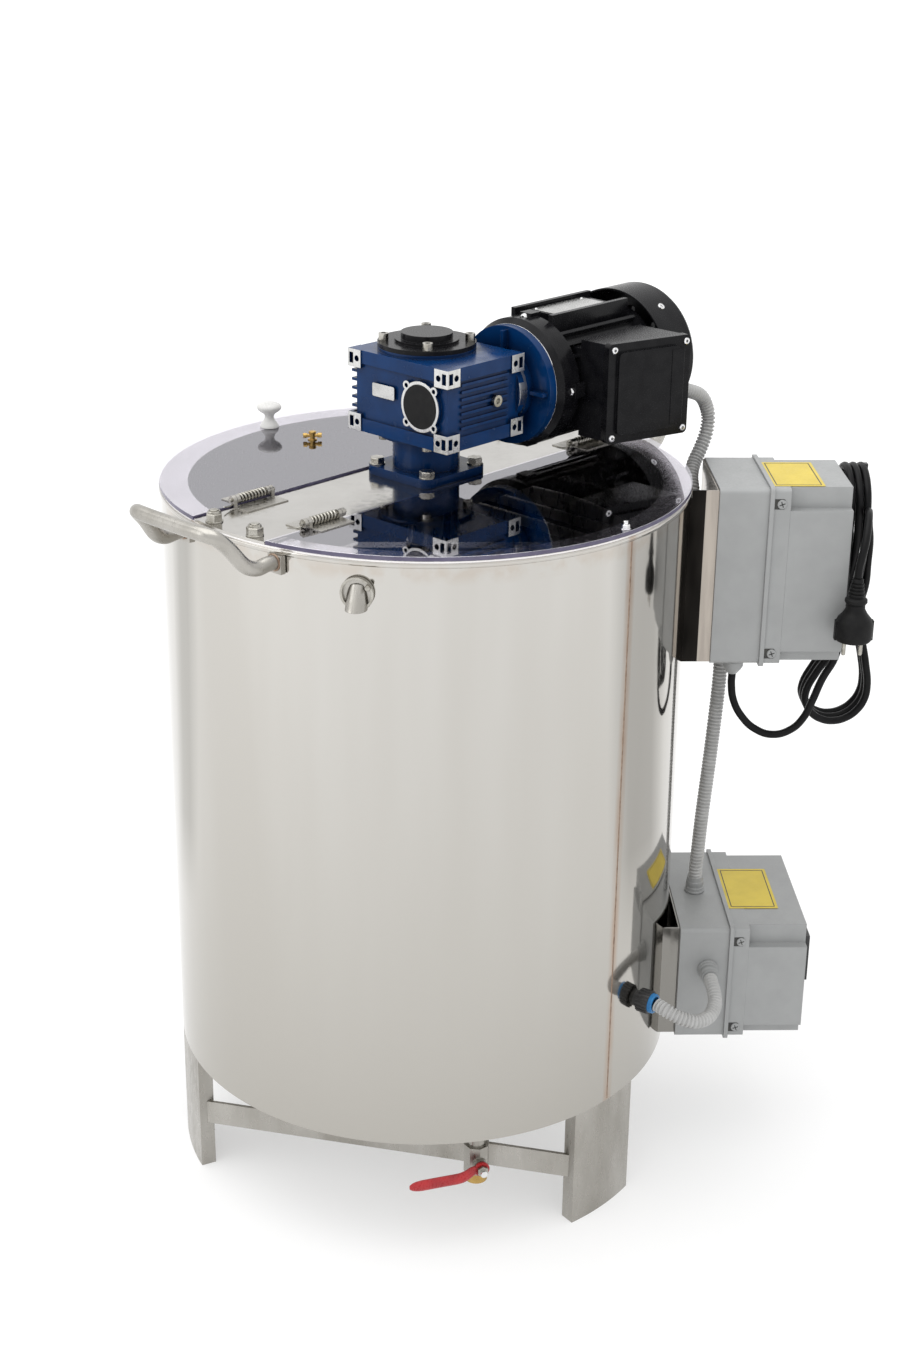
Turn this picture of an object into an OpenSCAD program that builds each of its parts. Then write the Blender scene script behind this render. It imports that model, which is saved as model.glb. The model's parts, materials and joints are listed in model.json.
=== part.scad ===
// Heated drum honey extractor: a jacketed tank on three legs, a worm-gear drive on a bridge,
// two clear lids, a four-frame basket inside and two control boxes on the side.
// Origin on the tank's axis at floor level. +X runs along the bridge towards the motor.

/* [Tank] */
// Outer radius of the tank
tank_r = 300; // [295:1:305]
// Height of the outer shell
tank_h = 696; // [690:2:710]
// Height of the legs under the tank
leg_h = 150; // [130:5:150]
// Thickness of the steel sheet
sheet_t = 2; // [1.5:0.5:2.5]
// Outer radius of the inner drum
drum_r = 270; // [266:1:272]
// Depth of the heated jacket under the inner drum
jacket_depth = 40; // [36:2:44]

/* [Legs] */
// Width of each leg along the tank's edge, in degrees
leg_span = 19.5; // [16:0.5:22]
// Depth of the folded edge of a leg
leg_fold = 18; // [14:1:22]
// Thickness of a leg's plate
leg_t = 3; // [2:0.5:4]
// Height of the flat bars between the legs
brace_h = 30; // [24:2:34]

/* [Bridge and lids] */
// Width of the bridge over the drum
bridge_w = 110; // [106:2:112]
// Thickness of the bridge plate
bridge_t = 3; // [2.5:0.5:4]
// Thickness of the clear lids
lid_t = 5; // [4:0.5:6]
// Diameter of the white lid knob
knob_d = 30; // [26:1:34]

/* [Drive] */
// Height of the drive's axis above the bridge
drive_rise = 97; // [95:1:99]
// Distance between the output axis and the worm's axis
worm_offset = 50; // [50:1:50]
// Diameter of the motor's flange disc
flange_d = 134; // [130:1:140]
// Diameter over the motor's fins
motor_d = 146; // [142:2:150]
// Where the motor's fan cover ends along the bridge
motor_end = 324; // [320:2:330]

/* [Basket] */
// Radius of the basket's hoops
hoop_r = 245; // [240:1:250]
// Diameter of the upright shaft
shaft_d = 25; // [22:1:28]

/* [Control boxes] */
// Direction of the boxes seen from the tank's axis
box_az = -45; // [-50:1:-40]
// Diameter of the grey conduits
conduit_d = 17; // [14:1:18]
// Diameter of the mains cord
cord_d = 9; // [8:0.5:9]

/* [Hidden] */
$fn = 64;
eps = 0.1;
run_gap = 0.05;
open_gap = 0.4;

steel = "#c9c8c4";
worn_steel = "#a8a49c";
blue_paint = "#163f7c";
black_paint = "#232326";
grey_plastic = "#b4b6b6";
clear_plastic = [0.75, 0.76, 0.82, 0.45];
brass_tone = "#b08d4a";
red_vinyl = "#a51f26";
black_rubber = "#141414";

rim_z = leg_h + tank_h;
drum_floor_z = leg_h + jacket_depth;
bridge_z = rim_z + bridge_t;
lid_z = rim_z + open_gap;
lid_top = lid_z + lid_t;
drive_z = bridge_z + drive_rise;
leg_azimuths = [-90, 150, 30];
bead = 1.4;
shaft_r = shaft_d / 2;

// ---------- shared shapes ----------

// A plain tube along Z
module tube(r_out, r_in, h) {
    difference() {
        cylinder(r = r_out, h = h);
        translate([0, 0, -eps]) cylinder(r = r_in, h = h + 2 * eps);
    }
}

// A rectangle with round corners, centred
module round_rect(w, h, r) {
    square([w - 2 * r, h], center = true);
    square([w, h - 2 * r], center = true);
    for (x = [-1, 1], y = [-1, 1])
        translate([x * (w / 2 - r), y * (h / 2 - r)]) circle(r = r);
}

// Turns a shape drawn along Z so that it points along +X
module along_x() {
    rotate([0, 90, 0]) children();
}

// A hexagon bolt head with its washer, standing on z = 0
module hex_head(size, h, washer_r) {
    cylinder(r = washer_r, h = 1.6);
    translate([0, 0, 1.6]) cylinder(d = size / cos(30), h = h, $fn = 6);
}

// A socket cap screw head standing on z = 0
module cap_screw(r, h) {
    difference() {
        cylinder(r = r, h = h, $fn = 32);
        translate([0, 0, h * 0.5]) cylinder(r = r * 0.55, h = h, $fn = 6);
    }
}

// Points of a smooth curve through a route, a few per stretch
function curve_point(a, b, c, d, t) =
    0.5 * (2 * b + (c - a) * t + (2 * a - 5 * b + 4 * c - d) * t * t
           + (3 * b - a - 3 * c + d) * t * t * t);
function smooth_route(p, n) = [
    for (i = [0 : len(p) - 2], s = [0 : n - 1])
        curve_point(p[max(i - 1, 0)], p[i], p[i + 1], p[min(i + 2, len(p) - 1)], s / n),
    p[len(p) - 1]];
function unit(v) = v / norm(v);
function travel(p, i) = unit(p[min(i + 1, len(p) - 1)] - p[max(i - 1, 0)]);
function square_to(v, d) = unit(v - (v * d) * d);
// Side vectors that follow the curve without twisting
function side_vectors(p, start) = [
    for (i = 0, u = square_to(start, travel(p, 0)); i < len(p);
         i = i + 1, u = i < len(p) ? square_to(u, travel(p, i)) : u) u];

// A round tube swept along a list of points
module sweep(p, r, sides, start = [0.31, 0.42, 0.85]) {
    side = side_vectors(p, start);
    n = len(p);
    rings = [for (i = [0 : n - 1], k = [0 : sides - 1])
        let (a = 360 * k / sides, d = travel(p, i))
        p[i] + r * (cos(a) * side[i] + sin(a) * cross(d, side[i]))];
    walls = [for (i = [0 : n - 2], k = [0 : sides - 1])
        [(i + 1) * sides + k, (i + 1) * sides + (k + 1) % sides,
         i * sides + (k + 1) % sides, i * sides + k]];
    first_cap = [for (k = [0 : sides - 1]) k];
    last_cap = [for (k = [sides - 1 : -1 : 0]) (n - 1) * sides + k];
    polyhedron(points = rings, faces = concat([first_cap], walls, [last_cap]), convexity = 6);
}

// ---------- tank ----------

module tank_shell() {
    color(steel) difference() {
        translate([0, 0, leg_h]) {
            tube(tank_r, tank_r - sheet_t, tank_h - sheet_t);
            translate([0, 0, tank_h - 6]) tube(tank_r + bead, tank_r - eps, 4);
        }
        translate([0, 0, gate_z]) rotate([-90, 0, 0]) cylinder(r = gate_bore + 2.6, h = tank_r + 10);
    }
}

module tank_bottom() {
    color(steel) difference() {
        translate([0, 0, leg_h]) cylinder(r = tank_r - sheet_t, h = sheet_t);
        translate([drain_x, drain_y, leg_h - eps]) cylinder(r = drain_bore, h = 4);
    }
}

gate_z = drum_floor_z + 36;
gate_bore = 25;

module inner_drum() {
    color(steel) difference() {
        union() {
            translate([0, 0, drum_floor_z]) tube(drum_r, drum_r - 1.5, tank_h - jacket_depth - sheet_t);
            translate([0, 0, drum_floor_z - sheet_t]) cylinder(r = drum_r, h = sheet_t);
        }
        translate([0, 0, gate_z]) rotate([-90, 0, 0]) cylinder(r = gate_bore + 2.5, h = tank_r);
    }
}

module jacket_ring() {
    color(steel) translate([0, 0, rim_z - sheet_t]) tube(tank_r, drum_r - 1.5, sheet_t);
}

// ---------- legs ----------

// A flat wedge between the leg's two edges, from a given point on its middle line
module leg_wedge(apex) {
    side = 2 * tank_r * [cos(leg_span / 2), sin(leg_span / 2)];
    translate([apex, 0]) polygon([[0, 0], [side[0], -side[1]], side]);
}

// A curved plate with both edges folded inwards
module leg() {
    color(steel) linear_extrude(leg_h) difference() {
        intersection() {
            circle(r = tank_r, $fn = 128);
            leg_wedge(0);
        }
        circle(r = tank_r - leg_fold, $fn = 128);
        intersection() {
            circle(r = tank_r - leg_t, $fn = 128);
            leg_wedge(leg_t / sin(leg_span / 2));
        }
    }
}

module front_leg() { rotate(leg_azimuths[0]) leg(); }
module left_leg() { rotate(leg_azimuths[1]) leg(); }
module right_leg() { rotate(leg_azimuths[2]) leg(); }

brace_r = tank_r - 9;
brace_t = 4;
brace_z = 60;
brace_half = (120 - leg_span) / 2;

// One flat bar between two legs, its ends cut flush with the folded edges
module brace() {
    reach = brace_r * cos(brace_half);
    linear_extrude(brace_h) intersection() {
        translate([reach - brace_t, -tank_r]) square([brace_t, 2 * tank_r]);
        polygon([[0, 0], 2 * tank_r * [cos(brace_half), -sin(brace_half)],
                 2 * tank_r * [1, 0], 2 * tank_r * [cos(brace_half), sin(brace_half)]]);
    }
}

module leg_braces() {
    color(worn_steel) for (a = leg_azimuths) rotate(a + 60) translate([0, 0, brace_z]) brace();
}

// ---------- handles ----------

handle_bar = 16;
handle_half = 72;
grip_half = 59;
grip_reach = 71;
grip_z = rim_z + 28;
handle_root_z = rim_z - 14;
plate_x = sqrt(pow(tank_r, 2) - pow(handle_half, 2));
plate_face = plate_x + 6;
weld_gap = 0.2;
handle_route = [
    [plate_face + weld_gap, -handle_half, handle_root_z], [plate_face + 10, -handle_half, handle_root_z],
    [tank_r + 22, -handle_half, handle_root_z - 1], [tank_r + 36, -70, handle_root_z + 6],
    [tank_r + 52, -66, grip_z - 16], [tank_r + 64, -62, grip_z - 4],
    [tank_r + grip_reach, -50, grip_z], [tank_r + grip_reach + 1, -25, grip_z],
    [tank_r + grip_reach + 1, 0, grip_z]];
handle_mirror = [for (i = [len(handle_route) - 2 : -1 : 0])
    [handle_route[i][0], -handle_route[i][1], handle_route[i][2]]];

module handle() {
    color(steel) {
        sweep(smooth_route(concat(handle_route, handle_mirror), 2), handle_bar / 2, 16);
        for (side = [-1, 1])
            difference() {
                translate([plate_x - 5, side * handle_half - 10, handle_root_z - 12])
                    cube([plate_face - plate_x + 5, 20, 19.7]);
                translate([0, 0, handle_root_z - 20]) cylinder(r = tank_r, h = 40, $fn = 128);
            }
    }
}

module right_handle() { handle(); }
module left_handle() { rotate(180) handle(); }

// ---------- overflow spout ----------

spout_az = -149.2;
spout_z = rim_z - 36;
spout_tilt = 58;
spout_r = 11.5;

module overflow_spout() {
    color(steel) rotate(spout_az) translate([0, 0, spout_z]) difference() {
        union() {
            translate([tank_r - 3, 0, 0]) along_x() cylinder(r = 17, h = 5);
            translate([tank_r - 6, 0, 4]) rotate([0, 90 + spout_tilt, 0])
                cylinder(r = spout_r, h = 34);
        }
        translate([tank_r - 6, 0, 4]) rotate([0, 90 + spout_tilt, 0])
            cylinder(r = spout_r - 1.5, h = 60);
        translate([0, 0, -100]) cylinder(r = tank_r, h = 200, $fn = 128);
        translate([tank_r - 20, -30, -58]) cube([60, 60, 42]);
    }
}

// ---------- bridge ----------

bolt_x = 287;
bolt_y = 32;
flange_bolt = 39;
bolt_r = 5;

module bolt_places() {
    for (x = [-1, 1], y = [-1, 1]) {
        translate([x * bolt_x, y * bolt_y, 0]) children();
        translate([x * flange_bolt, y * flange_bolt, 0]) children();
    }
}

module bridge() {
    color(steel) translate([0, 0, rim_z]) difference() {
        union() {
            linear_extrude(bridge_t) intersection() {
                square([2 * tank_r, bridge_w], center = true);
                circle(r = tank_r, $fn = 128);
            }
            for (side = [-1, 1])
                translate([-252, side * (bridge_w / 2 - 1.5) - 1.5, -28]) cube([504, 3, 28 + eps]);
        }
        translate([0, 0, -eps]) cylinder(r = shaft_r + 8, h = 10);
        translate([0, 0, -eps]) bolt_places() cylinder(r = bolt_r, h = 10);
    }
}

module bridge_bolts() {
    color("#b5b3ab") for (x = [-1, 1], y = [-1, 1]) {
        translate([x * bolt_x, y * bolt_y, bridge_z]) {
            hex_head(16, 8, 9.5);
            translate([0, 0, -bridge_t]) cylinder(r = bolt_r - 0.2, h = bridge_t + eps);
            translate([0, 0, 9]) cylinder(r = 6.4, h = 3.4);
        }
        translate([x * flange_bolt, y * flange_bolt, bridge_z + 10]) {
            hex_head(15, 6.5, 9);
            translate([0, 0, -13]) cylinder(r = bolt_r - 0.2, h = 13 + eps);
        }
    }
}

// ---------- lids and hinges ----------

lid_edge_y = bridge_w / 2 + 1.6;
hinge_y = lid_edge_y - 0.4;
hinge_z = lid_top + 5.4;
hinge_len = 58;
hinge_x = [-242, 184];
knuckle = 4.6;
barrel_r = 4.6;
pin_r = 2.2;

module lid(side) {
    color(clear_plastic) translate([0, 0, lid_z]) linear_extrude(lid_t) intersection() {
        circle(r = tank_r + 1, $fn = 160);
        translate([-tank_r - 2, side > 0 ? lid_edge_y : -tank_r - 2])
            square([2 * tank_r + 4, tank_r + 2 - lid_edge_y]);
    }
}

module left_lid() { lid(1); }
module right_lid() { lid(-1); }

knob_y = 258;

module lid_knob() {
    color("white") translate([-6, knob_y, lid_top]) rotate_extrude($fn = 48) polygon([
        [0, 0], [11, 0], [11.5, 2], [10.5, 5], [7.5, 8], [5.5, 12], [6.5, 16], [10, 19],
        [knob_d / 2 - 1, 22], [knob_d / 2, 25], [knob_d / 2 - 2, 28], [9, 30], [0, 31]]);
}

module knuckle_tube(x, len, gap = 0) {
    translate([x, 0, 0]) along_x() difference() {
        cylinder(r = barrel_r, h = len, $fn = 48);
        translate([0, 0, -eps]) cylinder(r = pin_r + gap, h = len + 2 * eps, $fn = 48);
    }
}

// Bridge half of a hinge: a leaf on the plate and the two end knuckles
module fixed_leaf() {
    for (x = [0, hinge_len - knuckle]) {
        translate([0, 0, hinge_z]) knuckle_tube(x, knuckle);
        translate([x, -barrel_r, bridge_z + 1]) cube([knuckle, 2, hinge_z - bridge_z - 1]);
    }
    translate([0, -barrel_r - 22, bridge_z]) cube([hinge_len, 24, 1.2]);
}

// Lid half of a hinge: a leaf on the lid and two inner knuckles
module moving_leaf() {
    for (x = [knuckle + 0.5, hinge_len - 2 * knuckle - 0.5]) {
        translate([0, 0, hinge_z]) knuckle_tube(x, knuckle, run_gap);
        translate([x, barrel_r - 2, lid_top + 1]) cube([knuckle, 2, hinge_z - lid_top - 1]);
    }
    translate([knuckle + 0.5, barrel_r - 2, lid_top]) cube([hinge_len - 2 * knuckle - 1, 20, 1.2]);
}

module hinge_pair(side) {
    for (x = hinge_x) translate([x, side * hinge_y, 0]) mirror([0, side > 0 ? 0 : 1, 0]) children();
}

module hinge_fixed_leaves() {
    color(steel) for (side = [-1, 1]) hinge_pair(side) fixed_leaf();
}

module left_hinge_leaves() { color(steel) hinge_pair(1) moving_leaf(); }
module right_hinge_leaves() { color(steel) hinge_pair(-1) moving_leaf(); }

module hinge_pins() {
    color("#8d8a84") for (side = [-1, 1]) hinge_pair(side)
        translate([-3, 0, hinge_z]) along_x() cylinder(r = pin_r, h = hinge_len + 6, $fn = 48);
}

// ---------- gearbox ----------

box_x0 = -61;
box_x1 = 62;
box_y0 = -90;
box_y1 = 63;
box_half = 46;
pad = 20;
wheel_r = 37.6;
worm_r = 12.1;
bearing_bore = 20;
core_in = 4;

// Four corner pads of one upright face, drawn in that face's own plane
module face_pads(w, depth) {
    for (x = [0, w - pad], y = [-box_half, box_half - pad])
        translate([x, y, 0]) cube([pad, pad, depth]);
}

module pad_holes(w, depth) {
    for (x = [0, 1], y = [0, 1]) {
        hole_x = x == 0 ? pad - 6 : w - pad + 6;
        pocket_x = x == 0 ? 2.5 : w - 8.5;
        cy = y == 0 ? -box_half + pad / 2 : box_half - pad / 2;
        translate([hole_x, cy, -eps]) cylinder(r = 3.4, h = depth + 4, $fn = 32);
        translate([pocket_x, cy - 6, 2]) cube([6, 12, depth + 4]);
    }
}

module gearbox_housing() {
    color(blue_paint) translate([0, 0, drive_z]) difference() {
        union() {
            // Core
            translate([box_x0 + core_in, box_y0 + core_in, -box_half + 2])
                cube([box_x1 - box_x0 - 2 * core_in, box_y1 - box_y0 - 14, 2 * box_half - 4]);
            // Upper and lower bands
            for (z = [-box_half, box_half - 15])
                translate([box_x0 + 1.5, box_y0 + 1.5, z])
                    cube([box_x1 - box_x0 - 3, box_y1 - box_y0 - 3, 15]);
            // Corner pads on the two visible sides and their opposites
            for (x = [box_x0 + 4, box_x1])
                translate([x, box_y1, 0]) rotate([90, 0, -90]) face_pads(box_y1 - box_y0, 4);
            translate([box_x0, box_y0 + 4, 0]) rotate([90, 0, 0]) face_pads(box_x1 - box_x0, 4);
            translate([box_x0, box_y1, 0]) rotate([90, 0, 0]) face_pads(box_x1 - box_x0, 4);
            // Cooling fins
            for (z = [-20 : 10 : 20])
                translate([box_x0 + 6, box_y1 - 12, z - 1.5]) cube([box_x1 - box_x0 - 12, 12, 3]);
            // Round bosses for the output covers
            translate([0, 0, -box_half - 4]) cylinder(r = 55, h = 2 * box_half + 8);
            // Ribs on the long side
            for (z = [-22 : 8 : 26])
                translate([box_x0 + 24, box_y0 + 1.5, z - 1.5]) cube([box_x1 - box_x0 - 48, 4, 3]);
            // Ring round the worm's end
            translate([box_x0 - 1.5, -worm_offset, 0]) along_x() cylinder(r = 28, h = 12);
            for (a = [45 : 90 : 315])
                translate([box_x0 - 1.5, -worm_offset + 29 * cos(a), 29 * sin(a)])
                    along_x() cylinder(r = 5, h = 8, $fn = 32);
            // Neck to the motor's flange
            translate([box_x1 - 8, -worm_offset, 0]) along_x() cylinder(r = 42, h = 22);
        }
        // Wheel chamber, worm tunnel and bearing seats
        translate([0, 0, -30]) cylinder(r = wheel_r + 3, h = 60);
        translate([0, 0, -box_half - 5]) cylinder(r = bearing_bore + 8, h = 2 * box_half + 10);
        translate([box_x0 - 3, -worm_offset, 0]) along_x() cylinder(r = 24.5, h = 5);
        translate([box_x0, -worm_offset, 0]) along_x() cylinder(r = 17, h = 200);
        translate([box_x1 + 4, -worm_offset, 0]) along_x() cylinder(r = 30, h = 20);
        for (a = [45 : 90 : 315])
            translate([box_x0 - 3, -worm_offset + 29 * cos(a), 29 * sin(a)])
                along_x() cylinder(r = 2.6, h = 9, $fn = 32);
        translate([box_x0 - eps, box_y1, 0]) rotate([90, 0, -90]) mirror([0, 0, 1])
            translate([0, 0, -3]) pad_holes(box_y1 - box_y0, 5);
        translate([box_x0, box_y0 - 3, 0]) rotate([-90, 0, 0]) pad_holes(box_x1 - box_x0, 5);
    }
}

module gearbox_cover() {
    color(black_paint) translate([0, 0, drive_z + box_half + 4]) {
        difference() {
            cylinder(r = 55, h = 5);
            translate([0, 0, -eps]) cylinder(r = shaft_r + 3, h = 3);
            for (a = [45 : 90 : 315]) rotate(a) translate([48, 0, -eps]) cylinder(r = 3.3, h = 7, $fn = 32);
        }
        translate([0, 0, 5 - eps]) cylinder(r = 36, h = 3);
        translate([0, 0, 7]) cylinder(r = 29, h = 8);
    }
}

module gearbox_screws() {
    color("#b9bcc0") {
        for (a = [45 : 90 : 315]) {
            translate([0, 0, drive_z + box_half + 9]) rotate(a) translate([48, 0, 0]) {
                cap_screw(5.6, 8);
                translate([0, 0, -5]) cylinder(r = 3, h = 5 + eps, $fn = 32);
            }
            translate([0, 0, drive_z - box_half - 4]) rotate(a) translate([48, 0, 0])
                rotate([180, 0, 0]) cap_screw(5.6, 8);
        }
        translate([17, box_y0 + 1.2, drive_z]) rotate([90, 0, 0]) difference() {
            cylinder(r = 6.5, h = 4);
            translate([0, 0, 2]) cylinder(r = 3.5, h = 4, $fn = 6);
        }
    }
}

module mounting_flange() {
    column_h = drive_rise - box_half - 4;
    color(blue_paint) translate([0, 0, bridge_z]) difference() {
        union() {
            linear_extrude(10) round_rect(100, 100, 14);
            cylinder(r = 38, h = column_h);
        }
        translate([0, 0, -eps]) cylinder(r = shaft_r + 8, h = column_h + 1);
        for (x = [-1, 1], y = [-1, 1])
            translate([x * flange_bolt, y * flange_bolt, -eps]) cylinder(r = bolt_r, h = 12);
    }
}

module worm_cap() {
    color(black_rubber) translate([box_x0 - 2, -worm_offset, drive_z]) along_x() cylinder(r = 24.4, h = 4);
}

// Bronze wheel with its hub: thirty teeth
module worm_wheel() {
    teeth = 30;
    color(brass_tone) translate([0, 0, drive_z]) difference() {
        union() {
            difference() {
                translate([0, 0, -11]) cylinder(r = wheel_r, h = 22);
                for (k = [0 : teeth - 1])
                    rotate(360 * (k + 0.5) / teeth) translate([wheel_r - 2.5, -1.6, -12])
                        cube([4, 3.2, 24]);
            }
            translate([0, 0, -30]) cylinder(r = bearing_bore - run_gap, h = 60);
        }
        translate([0, 0, -31]) cylinder(r = shaft_r, h = 62);
    }
}

module worm_shaft() {
    color("#9a9a9a") translate([0, -worm_offset, drive_z]) along_x() {
        translate([0, 0, -52]) cylinder(r = 8, h = 148);
        for (z = [-22 : 5.5 : 22]) translate([0, 0, z - 1.2]) cylinder(r = worm_r, h = 2.4);
        translate([0, 0, -25]) cylinder(r = worm_r - 2.5, h = 50);
    }
}

module shaft_bearings() {
    color("#a9a9a9") {
        for (z = [-30, 18])
            translate([0, 0, drive_z + z]) tube(bearing_bore + 8, bearing_bore, 12);
        for (x = [-50, 40])
            translate([x, -worm_offset, drive_z]) along_x() tube(17, 8 + run_gap, 10);
    }
}

// ---------- motor ----------

disc_x = box_x1 + 14;
disc_t = 11;
shield_x = disc_x + disc_t;
shield_r = motor_d / 2;
shield_len = 32;
body_x = shield_x + shield_len;
core_r = shield_r - 9;
stator_bore = 32;
fan_r = 81;
fan_x = 264;
fan_dome = 8;
axis_y = -worm_offset;
terminal_x = 123;
terminal_w = 112;
terminal_h = 114;
terminal_z = drive_z - 58;
terminal_back = -115;
terminal_front = -163;
terminal_turn = -15.6;
cover_depth = 14;
cover_rim = cover_depth - 4;
terminal_exit = [232.9, -156, drive_z - 16];

module on_motor_axis(x) {
    translate([x, axis_y, drive_z]) along_x() children();
}

module motor_flange() {
    color(blue_paint) difference() {
        union() {
            on_motor_axis(disc_x) cylinder(r = flange_d / 2, h = disc_t, $fn = 96);
            // Webs between the disc and the gearbox
            for (a = [0 : 90 : 270])
                translate([disc_x - 8, axis_y, drive_z]) rotate([a, 0, 0])
                    translate([0, -2, 42.3]) cube([9, 4, flange_d / 2 - 46.3]);
        }
        on_motor_axis(disc_x - 9) cylinder(r = 30, h = 30);
    }
}

// Points of a fin's place round the body, leaving the top and the terminal side free
fin_angles = concat([for (a = [36 : 12 : 60]) a], [for (a = [132 : 12 : 324]) a]);

module motor_housing() {
    fin_len = fan_x - body_x - 12;
    color(black_paint) difference() {
        union() {
            // End shield with a bevelled front
            on_motor_axis(shield_x) cylinder(r1 = shield_r - 6, r2 = shield_r, h = 7, $fn = 96);
            on_motor_axis(shield_x + 7) cylinder(r = shield_r, h = shield_len - 7, $fn = 96);
            on_motor_axis(body_x - eps) cylinder(r = core_r, h = fan_x - body_x + 6, $fn = 96);
            // Cooling fins
            for (a = fin_angles)
                translate([body_x - 1, axis_y, drive_z]) rotate([a, 0, 0])
                    translate([0, -2, core_r - 3]) cube([fin_len, 4, 11]);
            // Two long ribs and the raised seat of the rating plate between them
            for (y = [-31, 25])
                translate([body_x - 1, axis_y + y, drive_z + core_r - 14])
                    cube([fin_len, 6, 27]);
            translate([body_x + 20, axis_y - 26, drive_z + core_r - 14])
                cube([fin_len - 34, 52, 22]);
            // Screw lugs of the end shield
            for (a = [0, 90, 180, 270])
                translate([body_x - 12, axis_y, drive_z]) rotate([a, 0, 0])
                    translate([0, -8, core_r - 4]) cube([17.4, 16, 17]);
            // Seat of the terminal box
            translate([terminal_x + 6, terminal_back, terminal_z + 8])
                cube([terminal_w - 18, 24, terminal_h - 20]);
        }
        on_motor_axis(shield_x + 12) cylinder(r = core_r - 5, h = fan_x - shield_x);
        on_motor_axis(shield_x - eps) cylinder(r = 22, h = 30);
    }
}

module motor_stator() {
    color("#7c6a52") on_motor_axis(body_x + 14) tube(core_r - 5, stator_bore, 90);
}

module motor_rotor() {
    color("#8f9092") {
        on_motor_axis(body_x + 16) cylinder(r = stator_bore - 0.6, h = 86);
        on_motor_axis(97) cylinder(r = 8, h = motor_end - 14 - 97);
    }
}

module motor_fan() {
    color(black_rubber) {
        on_motor_axis(fan_x + 12) tube(16, 8, 22);
        on_motor_axis(fan_x + 12) tube(56, 15.5, 2.5);
        for (a = [0 : 60 : 300])
            translate([fan_x + 14, axis_y, drive_z]) rotate([a, 0, 0])
                translate([0, -1.5, 15.5]) cube([18, 3, 42]);
    }
}

module fan_cover() {
    color(black_paint) difference() {
        union() {
            on_motor_axis(fan_x) cylinder(r = fan_r, h = motor_end - fan_x - fan_dome, $fn = 96);
            on_motor_axis(motor_end - fan_dome - eps)
                rotate_extrude($fn = 96) polygon([[0, 0], [fan_r, 0], [fan_r - 3, 5],
                                                  [fan_r - 9, fan_dome], [0, fan_dome]]);
        }
        on_motor_axis(fan_x - eps)
            cylinder(r = fan_r - 2, h = motor_end - fan_x - fan_dome, $fn = 96);
        for (k = [0 : 4]) let (r = 16 + 11 * k) for (a = [0 : 60 : 300])
            on_motor_axis(motor_end - 12) rotate(a + 15 * k) translate([r, 0, 0])
                cylinder(r = 3.2, h = 20, $fn = 24);
    }
}

// The terminal cover's own frame: x along its width, y inwards, turned a little off the motor's axis
module at_terminal() {
    translate([terminal_x, terminal_front, terminal_z]) rotate(terminal_turn) children();
}

// Outline of the terminal box seen from above, wider at the fan's end
module terminal_outline(inset, front, back) {
    side = [cos(terminal_turn), sin(terminal_turn)];
    inwards = [-side[1], side[0]];
    near = [terminal_x, terminal_front] + front * inwards + inset * side;
    far = near + (terminal_w - 2 * inset) * side;
    polygon([[near[0], back], near, far, [far[0], back]]);
}

module terminal_box() {
    color(black_paint) difference() {
        translate([0, 0, terminal_z + 2]) linear_extrude(terminal_h - 4)
            terminal_outline(2, cover_depth, terminal_back);
        translate([0, 0, terminal_z + 6]) linear_extrude(terminal_h - 12)
            terminal_outline(6, cover_depth - 1, terminal_back - 4);
        translate(terminal_exit - [12, 0, 0]) along_x() cylinder(r = 7, h = 20);
    }
}

module terminal_cover() {
    color(black_paint) at_terminal() translate([terminal_w / 2, cover_depth, terminal_h / 2])
        rotate([90, 0, 0]) difference() {
            union() {
                linear_extrude(cover_rim) round_rect(terminal_w, terminal_h, 6);
                translate([-2, 0, cover_rim - eps]) linear_extrude(4)
                    round_rect(terminal_w - 28, terminal_h - 20, 6);
            }
            translate([0, 0, -eps]) linear_extrude(6)
                square([terminal_w - 12, terminal_h - 12], center = true);
            for (x = [-1, 1], y = [-1, 1])
                translate([x * (terminal_w / 2 - 7), y * (terminal_h / 2 - 7), -1])
                    cylinder(r = 2, h = 14, $fn = 24);
        }
}

// ---------- basket ----------

basket_low = drum_floor_z + 40;
basket_high = rim_z - 96;
foot_h = 22;
cage_in = 140;
cage_out = 190;
cage_half = 135;
bar = 5;

module basket_shaft() {
    color(steel) {
        translate([0, 0, drum_floor_z + 6]) cylinder(r = shaft_r, h = drive_z + box_half - drum_floor_z - 6);
        translate([0, 0, basket_high + 18.2]) tube(shaft_r + 8, shaft_r - eps, 34);
    }
}

// Flat hoops with four arms each, at the bottom and the top of the cages
module basket_frame() {
    color(steel) for (z = [basket_low, basket_high]) translate([0, 0, z]) {
        tube(hoop_r, hoop_r - 4, 20);
        translate([0, 0, 2]) tube(shaft_r + 10, shaft_r, 16);
        for (a = [45 : 90 : 315]) rotate(a)
            translate([shaft_r + 9, -10, 8]) cube([hoop_r - shaft_r - 12, 20, 4]);
    }
}

// One cage: four posts and flat bars, open at the top for a comb frame
module cage() {
    z0 = basket_low + 12 + eps;
    h = basket_high - basket_low + 8 - 2 * eps;
    for (x = [cage_in, cage_out - bar], y = [-cage_half, cage_half - bar])
        translate([x, y, z0]) cube([bar, bar, h]);
    for (z = [z0, z0 + h / 3, z0 + 2 * h / 3, z0 + h - 12])
        for (x = [cage_in, cage_out - bar])
            translate([x, -cage_half + bar - eps, z]) cube([bar, 2 * (cage_half - bar) + 2 * eps, 12]);
    for (y = [-cage_half, cage_half - bar])
        translate([cage_in + bar - eps, y, z0]) cube([cage_out - cage_in - 2 * bar + 2 * eps, bar, 12]);
}

module frame_cages() {
    color(worn_steel) for (a = [0 : 90 : 270]) rotate(a) cage();
}

module foot_bearing() {
    color("#e5e2da") translate([0, 0, drum_floor_z]) difference() {
        cylinder(r = 34, h = foot_h);
        translate([0, 0, 5.8]) cylinder(r = shaft_r + run_gap, h = foot_h);
    }
}

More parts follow.
